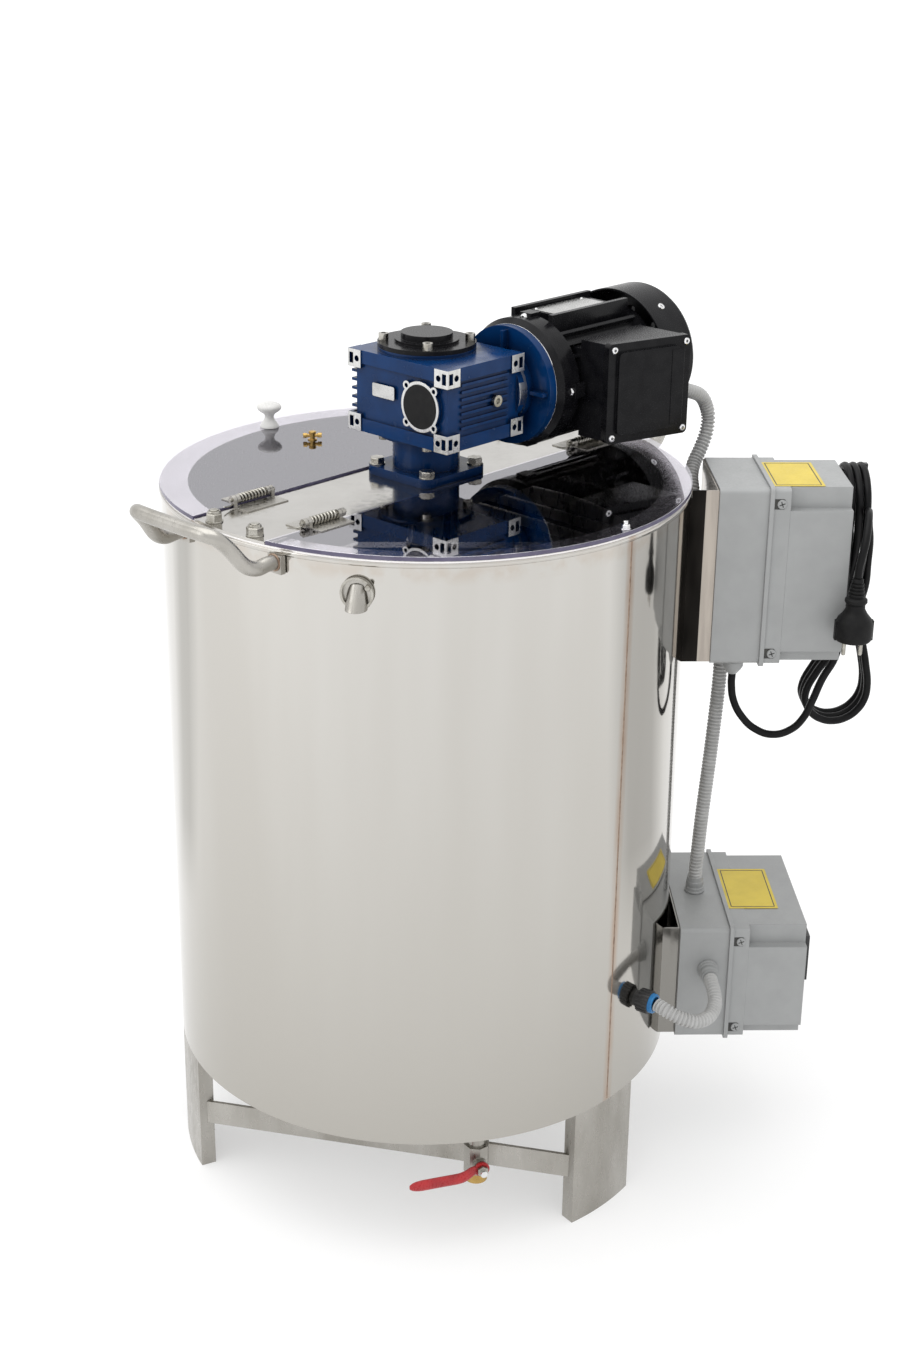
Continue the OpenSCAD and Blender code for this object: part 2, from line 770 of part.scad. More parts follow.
// ---------- honey gate, on the far side ----------

gate_y = tank_r + 28;
gate_pivot = 46;

module honey_outlet() {
    color(steel) translate([0, 0, gate_z]) rotate([-90, 0, 0]) difference() {
        union() {
            translate([0, 0, drum_r - 4]) cylinder(r = gate_bore + 2.4, h = gate_y - drum_r);
            translate([-34, -34, gate_y - 5]) cube([68 + 24, 68, 5]);
        }
        translate([0, 0, drum_r - 5]) cylinder(r = gate_bore, h = 100);
        translate([gate_pivot, 0, gate_y - 10]) cylinder(r = 4.05, h = 20);
    }
}

// Sliding plate that turns about the pivot screw
module gate_blade() {
    color(steel) translate([0, gate_y + open_gap, gate_z]) rotate([-90, 0, 0]) difference() {
        union() {
            cylinder(r = gate_bore + 5, h = 5);
            translate([0, -12, 0]) cube([gate_pivot, 24, 5]);
            translate([gate_pivot, 0, 0]) cylinder(r = 12, h = 5);
            translate([-gate_bore - 46, -8, 0]) cube([46, 16, 5]);
        }
        translate([gate_pivot, 0, -eps]) cylinder(r = 4.05, h = 6);
    }
}

module gate_screws() {
    color("#b5b3ab") translate([gate_pivot, 0, gate_z]) rotate([-90, 0, 0]) {
        translate([0, 0, gate_y - 9]) cylinder(r = 4, h = 20);
        translate([0, 0, gate_y + 5 + 2 * open_gap]) hex_head(13, 5, 9);
        translate([0, 0, gate_y - 9]) cylinder(d = 14, h = 4 - open_gap, $fn = 6);
    }
}

// ---------- jacket drain ----------

drain_az = -122;
drain_reach = 260;
drain_x = drain_reach * cos(drain_az);
drain_y = drain_reach * sin(drain_az);
drain_bore = 8;
valve_z = 100;
lever_out = 27;
stem_r = 4;

module at_drain() { translate([drain_x, drain_y, 0]) rotate(drain_az) children(); }

module drain_valve_body() {
    color(worn_steel) at_drain() difference() {
        union() {
            translate([0, 0, valve_z + 14]) cylinder(r = 11, h = leg_h - valve_z - 14);
            translate([0, 0, valve_z - 16]) cylinder(d = 30, h = 36, $fn = 8);
            translate([8, 0, valve_z]) along_x() cylinder(r = 8, h = 12);
        }
        translate([0, 0, valve_z - 17]) cylinder(r = drain_bore, h = 80);
        translate([0, 0, valve_z]) sphere(r = 11.3);
        translate([0, 0, valve_z]) along_x() cylinder(r = stem_r + run_gap, h = 30);
    }
}

module drain_outlet() {
    color(brass_tone) at_drain() translate([0, 0, valve_z - 28]) difference() {
        cylinder(r = 13, h = 12);
        translate([0, 0, -eps]) cylinder(r = 10, h = 10);
        cylinder(r = drain_bore, h = 20);
    }
}

module drain_ball() {
    color("#c8c8c8") at_drain() translate([0, 0, valve_z]) {
        difference() {
            along_x() sphere(r = 11);
            translate([0, -15, 0]) rotate([-90, 0, 0]) cylinder(r = 6.5, h = 30);
        }
        translate([8, 0, 0]) along_x() cylinder(r = stem_r, h = lever_out + 1);
    }
}

// Cranked lever with its nut, closed when it lies level
module drain_lever() {
    color(red_vinyl) at_drain() translate([lever_out - 5, 0, valve_z]) {
        difference() {
            along_x() cylinder(r = 9, h = 4);
            translate([-1, 0, 0]) along_x() cylinder(r = stem_r + 0.06, h = 6);
        }
        hull() {
            translate([0, -10, 0]) along_x() cylinder(r = 5.8, h = 4, $fn = 32);
            translate([3, -22, -6]) along_x() cylinder(r = 6.5, h = 4, $fn = 32);
        }
        hull() {
            translate([3, -22, -6]) along_x() cylinder(r = 6.5, h = 4, $fn = 32);
            translate([3, -84, -9]) along_x() cylinder(r = 7, h = 5, $fn = 32);
        }
    }
    color("#b5b3ab") at_drain() translate([lever_out - 1, 0, valve_z]) along_x() difference() {
        cylinder(d = 13, h = 5, $fn = 6);
        translate([0, 0, -eps]) cylinder(r = stem_r + 0.06, h = 6);
    }
}

// ---------- heater ----------

heater_az = -80;
heater_z = 263;

module heating_element() {
    color("#6f6a63") {
        translate([0, 0, leg_h + 14]) rotate_extrude($fn = 96) translate([150, 0]) circle(r = 5, $fn = 16);
        rotate(heater_az) {
            translate([154, 0, leg_h + 14]) along_x() cylinder(r = 5, h = 131);
            translate([285, 0, leg_h + 9]) cylinder(r = 5, h = heater_z - leg_h - 9);
            translate([280, 0, heater_z]) along_x() cylinder(r = 5, h = 16);
        }
    }
}

module heater_coupling() {
    color(black_rubber) rotate(heater_az) translate([0, 0, heater_z]) difference() {
        union() {
            translate([tank_r - 2, 0, 0]) along_x() cylinder(r = 9.5, h = 28);
            translate([tank_r + 4, 0, 0]) along_x() cylinder(r = 13.5, h = 18, $fn = 12);
        }
        translate([0, 0, -100]) cylinder(r = tank_r, h = 200, $fn = 128);
    }
}

// ---------- control boxes ----------

upper_x = [326, 382, 477];
upper_z = [640, 849];
upper_half = 65;
lower_x = [305, 364, 458];
lower_z = [166, 314];
lower_half = 102;
wall = 3;
flange_out = 3;
entry_r = 12;

module at_boxes() { rotate(box_az) children(); }

// Way in for the motor's conduit, through the bracket and the upper box's back
module motor_entry() {
    translate([320, motor_entry_y, motor_entry_z]) along_x() cylinder(r = entry_r, h = 10);
}

// A box opening towards +X, drawn from its back
module box_shell(x0, x1, half, z0, z1, r) {
    mid = [x0, 0, (z0 + z1) / 2];
    translate(mid) along_x() difference() {
        linear_extrude(x1 - x0) round_rect(z1 - z0, 2 * half, r);
        translate([0, 0, wall]) linear_extrude(x1 - x0)
            square([z1 - z0 - 2 * wall, 2 * half - 2 * wall], center = true);
    }
}

// A deep cover: a flange, a full-size collar and a deep part with notched corners.
// Turned along X, the box's top lies towards the drawing's -X side.
module deep_cover(x0, x1, half, z0, z1) {
    mid = [x0, 0, (z0 + z1) / 2];
    h = z1 - z0;
    notch = 12;
    notch_top = 25;
    notch_low = 15;
    step = 0.8;
    translate(mid) along_x() difference() {
        union() {
            linear_extrude(5) round_rect(h + 2 * flange_out, 2 * half + 2 * flange_out, 5);
            linear_extrude(24) round_rect(h, 2 * half, 4);
            linear_extrude(x1 - x0) {
                square([h - step, 2 * half - 2 * notch], center = true);
                translate([notch_top - h / 2, step / 2 - half])
                    square([h - notch_top - notch_low, 2 * half - step]);
            }
        }
        translate([0, 0, -eps]) linear_extrude(x1 - x0 - wall)
            square([h - 2 * notch - 2 * wall, 2 * half - 2 * notch - 2 * wall], center = true);
    }
}

module upper_box_base() {
    color(grey_plastic) at_boxes() difference() {
        box_shell(upper_x[0], upper_x[1], upper_half, upper_z[0], upper_z[1], 5);
        motor_entry();
    }
}

module upper_box_cover() {
    color(grey_plastic) at_boxes()
        deep_cover(upper_x[1], upper_x[2], upper_half, upper_z[0], upper_z[1]);
}

module lower_box_base() {
    color(grey_plastic) at_boxes()
        box_shell(lower_x[0], lower_x[1], lower_half, lower_z[0], lower_z[1], 5);
}

module lower_box_cover() {
    color(grey_plastic) at_boxes()
        deep_cover(lower_x[1], lower_x[2], lower_half, lower_z[0], lower_z[1]);
}

// Folded steel channels between the tank and the boxes
module box_brackets() {
    color(steel) at_boxes() difference() {
        union() {
            translate([upper_x[0] - 2, -62, upper_z[0] + 2]) cube([2, 124, 205]);
            translate([290, -62, upper_z[0] + 2]) cube([upper_x[0] - 291, 2, 205]);
            translate([290, 60, upper_z[0] + 2]) cube([upper_x[0] - 291, 2, 100]);
            for (z = [665, 735]) translate([tank_r - 8, -30, z]) cube([upper_x[0] - tank_r + 7, 60, 20]);
            translate([lower_x[0] - 2, -95, lower_z[0] + 2]) cube([2, 190, 144]);
            for (y = [-95, 93]) translate([270, y, lower_z[0] + 2]) cube([34, 2, 144]);
        }
        translate([0, 0, 100]) cylinder(r = tank_r, h = 800, $fn = 128);
        translate([0, 0, rim_z - 8]) cylinder(r = tank_r + bead + open_gap, h = 20, $fn = 128);
        motor_entry();
    }
}

thermostat_y = -50;
thermostat_z = 265;
switch_y = 24;
switch_z = 276;

// Thermostat panel and switch frame on the lower box, cord hook on the upper one
module box_controls() {
    color(black_paint) at_boxes() {
        translate([lower_x[2], thermostat_y - 36, thermostat_z - 30]) cube([6, 72, 60]);
        translate([lower_x[2], switch_y - 12, switch_z - 16]) difference() {
            cube([3, 24, 32]);
            translate([-1, 3, 4]) cube([5, 18, 24]);
        }
        translate([upper_x[2], hook_y, hook_z]) {
            along_x() cylinder(r = 4, h = 30);
            translate([28, -4, -4]) cube([4, 8, 20]);
        }
    }
}

// Rocker that tips about its middle
module rocker_switch() {
    color("#2b2b2e") at_boxes() translate([lower_x[2] + 1.9, switch_y, switch_z]) difference() {
        union() {
            rotate([90, 0, 0]) cylinder(r = 4, h = 17, center = true);
            translate([0, -8.5, -11]) cube([4.2, 17, 22]);
        }
        translate([-8.2, -10, -20]) cube([8, 20, 40]);
    }
}

// ---------- conduits and mains cord ----------

gland_x = 359;
gland_y = -25;
gland_end = upper_z[0] - 26;
hook_y = 25;
hook_z = 837;
motor_entry_y = 28;
motor_entry_z = 768;

motor_route = [
    terminal_exit, terminal_exit + [17, -1, 0], [277, -160, 922], [295, -160, 914],
    [305, -161, 902], [309, -163, 886], [303, -165.5, 868], [291, -167, 851], [278, -169, 838],
    [264, -176.5, 826], [253, -187.7, 813], [245, -195.5, 799], [241.5, -199.8, 788],
    [242, -202, 778], [245, -205.4, 771.5], [250.2, -210.6, motor_entry_z]];
link_route = [
    [350, 4, upper_z[0] - 8 - weld_gap], [350, 4, 622], [349, 3, 580], [344, 0, 500], [338, -3, 420],
    [335, -4, 365], [334, -4, 345], [334, -4, lower_z[1] + 18 + weld_gap]];
coupling_end = (tank_r + 28) * [cos(heater_az - box_az), sin(heater_az - box_az)];
heater_route = [
    [coupling_end[0], coupling_end[1], heater_z], [281, -199, heater_z - 3], [297, -203, 253],
    [315, -199, 247], [331, -186, 246], [340, -166, 250], [341, -148, 256], [340, -134, 259],
    [340, -lower_half - 20 - weld_gap, 260]];

// Corrugated conduits, each with its nut or gland at both ends
module conduits() {
    r = conduit_d / 2;
    color(grey_plastic) {
        sweep(smooth_route(motor_route, 2), r, 12);
        at_boxes() sweep(smooth_route(link_route, 2), r, 12);
        at_boxes() sweep(smooth_route(heater_route, 2), r, 12);
        at_boxes() {
            translate([334, -4, lower_z[1]]) cylinder(r = 12, h = 18);
            translate([340, -lower_half - 20, 260]) rotate([-90, 0, 0]) cylinder(r = 12, h = 20);
            translate([350, 4, upper_z[0] - 8]) cylinder(r = 11, h = 8);
            translate([gland_x, gland_y - 2, gland_end]) difference() {
                cylinder(r = 12.5, h = 26);
                translate([0, 0, -eps]) cylinder(r = cord_d / 2 + 0.3, h = 27);
            }
        }
    }
}

// The cord's free stretches: from the gland to the hank, and from the hank to the plug
lead_route = [
    [gland_x, gland_y - 2, gland_end + 22], [gland_x, gland_y - 2, gland_end],
    [359, -27, 600], [363, -27, 578], [374, -28, 558], [390, -29, 543], [411, -30, 536],
    [432, -30, 542], [446, -29, 556], [456, -27, 578], [466, -24, 604], [480, -20, 626]];
tail_route = [
    [506.5, -21.8, 800.3], [503.5, -33.4, 806.5], [500, -46.2, 809], [496.5, -60, 807],
    [492.5, -73.5, 801], [488.5, -83.5, 791], [485, -88, 779], [483, -88, 766], [483, -88, 753]];
hank_low = 533;
hank_front = 518;

module mains_cord() {
    color(black_rubber) at_boxes() {
        sweep(smooth_route(lead_route, 2), cord_d / 2, 8);
        sweep(smooth_route(tail_route, 2), cord_d / 2, 8);
    }
}

// Outer shape of the hank that hangs from the hook, wider where its loops spread under the box
module cord_hank() {
    back = upper_x[2] + 3;
    color("#1d1d1d") at_boxes() {
        translate([back, 0, 0]) rotate([90, 0, 90]) linear_extrude(hank_front - back) {
            translate([-24, 619]) square([98, 185]);
            translate([25, 804]) intersection() {
                circle(r = 49, $fn = 48);
                translate([-49, 0]) square([98, 49]);
            }
        }
        translate([0, 66, 0]) rotate([90, 0, 0]) linear_extrude(86) {
            translate([438, hank_low + 30]) square([104, 57]);
            translate([468, hank_low]) square([44, 40]);
            translate([468, hank_low + 30]) circle(r = 30, $fn = 48);
            translate([512, hank_low + 30]) circle(r = 30, $fn = 48);
            translate([back + 5, 600]) square([50, 80]);
        }
    }
}

plug_x = 483;
plug_y = -88;
plug_top = 753;

// Two-pin earthed plug hanging with its pins down
module mains_plug() {
    at_boxes() translate([plug_x, plug_y, plug_top]) rotate([180, 0, 0]) {
        color(black_rubber) rotate_extrude($fn = 48) polygon([
            [0, 0], [6, 0], [8, 20], [11, 24], [9, 34], [13, 42], [20, 52], [21.5, 56],
            [21.5, 70], [19.5, 74], [0, 74]]);
        color(steel) for (x = [-9.5, 9.5]) translate([x, 0, 74 - eps]) cylinder(r = 2.4, h = 19, $fn = 24);
    }
}

// ---------- assembly ----------

tank_shell();
tank_bottom();
inner_drum();
jacket_ring();
front_leg();
left_leg();
right_leg();
leg_braces();
left_handle();
right_handle();
overflow_spout();
bridge();
bridge_bolts();
honey_outlet();
gate_blade();
gate_screws();
drain_valve_body();
drain_outlet();
drain_ball();
drain_lever();
heating_element();
heater_coupling();
left_lid();
right_lid();
lid_knob();
hinge_fixed_leaves();
left_hinge_leaves();
right_hinge_leaves();
hinge_pins();
gearbox_housing();
gearbox_cover();
gearbox_screws();
mounting_flange();
worm_cap();
worm_wheel();
worm_shaft();
shaft_bearings();
motor_flange();
motor_housing();
motor_stator();
motor_rotor();
motor_fan();
fan_cover();
terminal_box();
terminal_cover();
basket_shaft();
basket_frame();
frame_cages();
foot_bearing();
upper_box_base();
upper_box_cover();
lower_box_base();
lower_box_cover();
box_brackets();
box_controls();
rocker_switch();
conduits();
mains_cord();
cord_hank();
mains_plug();
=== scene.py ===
"""Looks of the honey extractor: materials, fine pieces, the mains cord, camera and light.

Shapes are drawn in millimetres in the row frame (origin on the tank's axis at floor level,
+X along the bridge to the motor), and Build turns them into metres.
"""

import json
import math
import random

import bmesh
import bpy
from mathutils import Matrix, Vector


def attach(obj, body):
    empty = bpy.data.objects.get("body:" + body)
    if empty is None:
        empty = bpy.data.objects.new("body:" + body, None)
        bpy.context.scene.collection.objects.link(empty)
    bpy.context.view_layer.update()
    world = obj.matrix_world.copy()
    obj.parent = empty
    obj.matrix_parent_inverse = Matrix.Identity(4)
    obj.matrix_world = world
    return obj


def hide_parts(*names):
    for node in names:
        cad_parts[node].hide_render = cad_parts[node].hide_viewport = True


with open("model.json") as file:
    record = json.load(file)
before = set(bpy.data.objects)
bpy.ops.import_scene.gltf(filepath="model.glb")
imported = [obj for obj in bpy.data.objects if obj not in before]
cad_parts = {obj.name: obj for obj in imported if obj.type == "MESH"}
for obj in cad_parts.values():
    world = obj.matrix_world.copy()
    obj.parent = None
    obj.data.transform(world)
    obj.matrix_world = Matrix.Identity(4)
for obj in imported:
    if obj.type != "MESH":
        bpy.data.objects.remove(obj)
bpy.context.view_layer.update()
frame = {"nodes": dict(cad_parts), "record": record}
dice = random.Random(7)
MM = 0.001

# ---------- sizes, repeated from the CAD, in millimetres ----------

# Tank: outer radius, sheet thickness, how far the rim's bead stands out, underside and rim
TANK_R = 300
WALL = 2
BEAD = 1.4
LEG_H = 150
RIM_Z = 844
# Handles: height and half spacing of their weld plates
GRIP_Z = 832
GRIP_Y = 72
# Bridge: top of its plate, places of its four bolts, and the column's flange
BRIDGE_Z = 849
BRIDGE_BOLT = (287, 32)
COLUMN_BOLT = 39
COLUMN_FLANGE_T = 10
# Lids: radius, underside and top of the sheets, and the straight edge's distance from the middle
LID_R = 301
LID_BOTTOM = 846.4
LID_TOP = 851.4
LID_EDGE_Y = 56.6
# Hinges: knuckle places
HINGES = [(x, side) for x in (-242, 184) for side in (-1, 1)]
HINGE_Y = 56.2
HINGE_Z = 856.8
# Drive: the motor's axis, its end shield and fan cover, and the terminal box's cover
DRIVE_Z = 946
AXIS_Y = -50
SHIELD_X = 106.6
SHIELD_SCREW_R = 72
FAN_COVER_X = 290
FAN_COVER_R = 81
FLANGE_R = 67.25
TERMINAL = {"place": (123, -163, 888), "turn": -15.6, "width": 112, "height": 114}
# Boxes: turn of their frame, then where base and cover meet, their heights and half width
BOX_TURN = -45
UPPER = {"joint": 382, "low": 640, "high": 849, "half": 65}
LOWER = {"joint": 364, "low": 166, "high": 314, "half": 102}
# Conduits, mains cord and heater coupling
CONDUIT_R = 8.5
CORD_R = 4.5
HEATER_AZ = -80
HEATER_Z = 263
# Overflow spout and drain valve
SPOUT_AZ = -149.2
SPOUT_Z = 810
DRAIN_AZ = -122
DRAIN_REACH = 260
LEVER_Z = 100

# ---------- camera ----------

# Solved from the tank's rim ellipse, bottom edge and sides. Angles are in radians
CAMERA_PLACE = Vector((-1644.19, -1587.77, 1540.24)) * MM
CAMERA_LENS = 55.86
SENSOR = 36
LOOK_DOWN = 0.390169
LOOK_ASIDE = 0.012959
TILT = 0.010855
SIDE_VIEW = math.radians(-46)


def make_camera():
    """The photograph's camera: it looks down at the part from beyond the left front corner."""
    ahead = Vector((math.sin(LOOK_ASIDE) * math.cos(LOOK_DOWN),
                    math.cos(LOOK_ASIDE) * math.cos(LOOK_DOWN), -math.sin(LOOK_DOWN)))
    right = Vector((math.cos(LOOK_ASIDE), -math.sin(LOOK_ASIDE), 0))
    up = right.cross(ahead)
    tilted_right = math.cos(TILT) * right + math.sin(TILT) * up
    tilted_up = -math.sin(TILT) * right + math.cos(TILT) * up
    turn_to_frame = Matrix.Rotation(SIDE_VIEW, 3, "Z")
    basis = turn_to_frame @ Matrix((tilted_right, tilted_up, -ahead)).transposed()
    data = bpy.data.cameras.new("camera")
    data.lens = CAMERA_LENS
    data.sensor_fit = "AUTO"
    data.sensor_width = SENSOR
    data.clip_end = 100
    camera = bpy.data.objects.new("camera", data)
    camera.matrix_world = Matrix.Translation(CAMERA_PLACE) @ basis.to_4x4()
    bpy.context.scene.collection.objects.link(camera)
    bpy.context.scene.camera = camera


make_camera()

# ---------- materials ----------


class Finish:
    """One procedural material: a Principled shader fed by noises in the piece's own coordinates."""

    def __init__(self, name):
        self.material = bpy.data.materials.new(name)
        self.material.use_nodes = True
        self.tree = self.material.node_tree
        self.shader = self.tree.nodes["Principled BSDF"]
        self.coordinates = self.node("ShaderNodeTexCoord")
        self.place = self.coordinates.outputs["Object"]

    def node(self, kind, **settings):
        """A new node with the given properties."""
        made = self.tree.nodes.new(kind)
        for key, value in settings.items():
            setattr(made, key, value)
        return made

    def join(self, source, target):
        """Links a socket, or sets a plain value."""
        if isinstance(source, bpy.types.NodeSocket):
            self.tree.links.new(source, target)
        else:
            target.default_value = source

    def noise(self, scale, stretch=(1, 1, 1), detail=4.0):
        """Noise of the given scale per metre, drawn out where stretch is below 1."""
        mapping = self.node("ShaderNodeMapping")
        self.join(self.place, mapping.inputs["Vector"])
        self.join(stretch, mapping.inputs["Scale"])
        made = self.node("ShaderNodeTexNoise")
        self.join(mapping.outputs[0], made.inputs["Vector"])
        self.join(scale, made.inputs["Scale"])
        self.join(detail, made.inputs["Detail"])
        return made.outputs["Fac"]

    def spread(self, value, low, high, start=0.35, end=0.65):
        """Value's range from start to end, stretched to low to high."""
        made = self.node("ShaderNodeMapRange", clamp=True)
        for name, source in (("Value", value), ("From Min", start), ("From Max", end),
                             ("To Min", low), ("To Max", high)):
            self.join(source, made.inputs[name])
        return made.outputs["Result"]

    def calculate(self, operation, first, second=0.0):
        """The result of a maths operation on sockets or numbers."""
        made = self.node("ShaderNodeMath", operation=operation)
        self.join(first, made.inputs[0])
        self.join(second, made.inputs[1])
        return made.outputs[0]

    def mix(self, factor, first, second):
        """Blends two colours, each a socket or a tuple of three."""
        made = self.node("ShaderNodeMix", data_type="RGBA")
        self.join(factor, made.inputs["Factor"])
        for colour, socket in ((first, "A"), (second, "B")):
            self.join((*colour, 1) if isinstance(colour, tuple) else colour, made.inputs[socket])
        return made.outputs["Result"]

    def axes(self, vector=None):
        """The three parts of a vector, by default the point's coordinates in metres."""
        split = self.node("ShaderNodeSeparateXYZ")
        self.join(self.place if vector is None else vector, split.inputs[0])
        return split.outputs

    def product(self, *values):
        """The product of several masks."""
        result = values[0]
        for value in values[1:]:
            result = self.calculate("MULTIPLY", result, value)
        return result

    def between(self, value, low, high):
        """1 where value lies between low and high."""
        return self.product(self.calculate("GREATER_THAN", value, low),
                            self.calculate("LESS_THAN", value, high))

    def band(self, value, middle, half, soft):
        """1 where value is within half of middle, fading out over soft."""
        away = self.calculate("ABSOLUTE", self.calculate("SUBTRACT", value, middle))
        return self.spread(away, 1.0, 0.0, half, half + soft)

    def edges(self, radius):
        """(rounded normal, 1 at the edges of the shape)."""
        bevel = self.node("ShaderNodeBevel", samples=4)
        self.join(radius * MM, bevel.inputs["Radius"])
        true = self.node("ShaderNodeNewGeometry").outputs["Normal"]
        dot = self.node("ShaderNodeVectorMath", operation="DOT_PRODUCT")
        self.join(bevel.outputs[0], dot.inputs[0])
        self.join(true, dot.inputs[1])
        return bevel.outputs[0], self.spread(dot.outputs["Value"], 1.0, 0.0, 0.8, 0.99)

    def open_share(self, reach):
        """1 on open faces, falling towards 0 in recesses narrower than reach; it masks painted
        shade.
        """
        made = self.node("ShaderNodeAmbientOcclusion", samples=6)
        self.join(reach * MM, made.inputs["Distance"])
        return made.outputs["AO"]

    def relief(self, height, depth, normal=None):
        """Bump of the given depth in millimetres."""
        made = self.node("ShaderNodeBump")
        self.join(height, made.inputs["Height"])
        self.join(depth * MM, made.inputs["Distance"])
        self.join(0.6, made.inputs["Strength"])
        if normal is not None:
            self.join(normal, made.inputs["Normal"])
        return made.outputs[0]

    def set(self, **values):
        """Sets or links the shader's sockets, named with _ for a space."""
        for name, value in values.items():
            socket = self.shader.inputs[name.replace("_", " ")]
            if isinstance(value, tuple) and len(value) == 3:
                value = (*value, 1)
            self.join(value, socket)
        return self


def plain_finish(name, colour, other, rough, grain, depth, metal=0.0, stretch=(1, 1, 1),
                 edge_radius=0.6, edge_wear_and_highlight_colour=None, **sockets):
    """Two close colours in soft patches, uneven gloss, fine relief and rounded edges whose colour
    is wear on most finishes and a painted highlight on the grey plastic.
    """
    made = Finish(name)
    patches = made.spread(made.noise(grain, stretch), 0.0, 1.0)
    fine = made.noise(grain * 9, stretch, 6.0)
    colours = made.mix(patches, colour, other)
    normal = None
    if edge_radius:
        normal, edge = made.edges(edge_radius)
        if edge_wear_and_highlight_colour is not None:
            # Edge patches in their own colour: wear on most finishes, and a painted highlight on
            # the grey plastic.
            worn = made.product(edge, made.spread(fine, 0.15, 0.9, 0.4, 0.6))
            colours = made.mix(worn, colours, edge_wear_and_highlight_colour)
    return made.set(Base_Color=colours, Roughness=made.spread(fine, *rough), Metallic=metal,
                    Normal=made.relief(fine, depth, normal), **sockets)


def tank_finish():
    """Polished sheet: long upright bands, heat tints below the rim and at the weld seam, and
    painted shade that darkens it towards the bottom.
    """
    made = Finish("polished_sheet")
    x, y, z = made.axes()
    streaks = made.noise(9, (1, 1, 0.12), 3.0)
    fine = made.noise(160, (1, 1, 0.05), 5.0)
    clouds = made.noise(6, detail=2.0)
    colours = made.mix(made.spread(streaks, 0, 1), (0.56, 0.547, 0.52), (0.51, 0.493, 0.462))
    # Painted shade: the sheet darkens towards the bottom.
    colours = made.mix(made.spread(z, 0.0, 1.0, 0.15, 0.80), (0.435, 0.418, 0.385), colours)
    rim = made.product(made.band(z, (RIM_Z - 11) * MM, 0.002, 0.012),
                       made.spread(made.noise(45), 0.0, 0.3, 0.42, 0.62))
    colours = made.mix(rim, colours, (0.44, 0.35, 0.27))
    front = made.spread(y, 1.0, 0.0, -0.28, -0.2)
    seam = made.product(made.band(x, 0.0, 0.003, 0.006), front,
                        made.spread(made.noise(60, (1, 1, 0.2)), 0.25, 0.8))
    colours = made.mix(seam, colours, (0.40, 0.30, 0.23))
    wave = made.calculate("ADD", made.product(streaks, 0.6), made.product(fine, 0.05))
    return made.set(Base_Color=colours, Roughness=made.spread(clouds, 0.055, 0.10), Metallic=1.0,
                    Normal=made.relief(wave, 0.5))


# In metres: the faces of the gearbox's pads, beyond which it is machined bare, the start of the
# neck to the motor, and how far the pads reach above and below the motor's axis
PAD_FACES_X = (-0.06094, 0.06194)
PAD_FACES_Y = (-0.08994, 0.06294)
NECK_X = 0.066
PAD_HALF_H = 0.047


def gearbox_finish():
    """Gloss blue enamel with bare machined faces on the outermost pads, and painted shade that
    darkens the blue in recesses.
    """
    made = Finish("blue_enamel")
    x, y, z = made.axes()
    cast = made.product(made.between(x, *PAD_FACES_X), made.between(y, *PAD_FACES_Y))
    bare = made.product(made.calculate("SUBTRACT", 1.0, cast),
                        made.band(z, DRIVE_Z * MM, PAD_HALF_H, 0.001),
                        made.calculate("LESS_THAN", x, NECK_X))
    peel = made.noise(240, detail=2.0)
    dirt = made.noise(35, detail=5.0)
    normal, edge = made.edges(0.9)
    blue = made.mix(made.spread(dirt, 0, 1), (0.0012, 0.028, 0.110), (0.0009, 0.021, 0.083))
    chipped = made.product(edge, made.spread(made.noise(120), 0.0, 0.5, 0.45, 0.6))
    blue = made.mix(chipped, blue, (0.03, 0.10, 0.26))
    # Painted shade: the blue darkens to near-black in recesses and between the ribs.
    unshaded_share = made.spread(made.open_share(22), 0.0, 1.0, 0.35, 0.95)
    blue = made.mix(unshaded_share, (0.0008, 0.007, 0.030), blue)
    ground = made.mix(made.spread(made.noise(500, (1, 1, 0.1)), 0, 1),
                      (0.66, 0.66, 0.65), (0.56, 0.56, 0.55))
    worn = made.calculate("ADD", dirt, made.product(bare, 0.1))
    return made.set(Base_Color=made.mix(bare, blue, ground), Metallic=bare,
                    Roughness=made.spread(worn, 0.14, 0.3), Normal=made.relief(peel, 0.12, normal),
                    Coat_Weight=0.04, Coat_Roughness=0.08, Specular_IOR_Level=0.16)


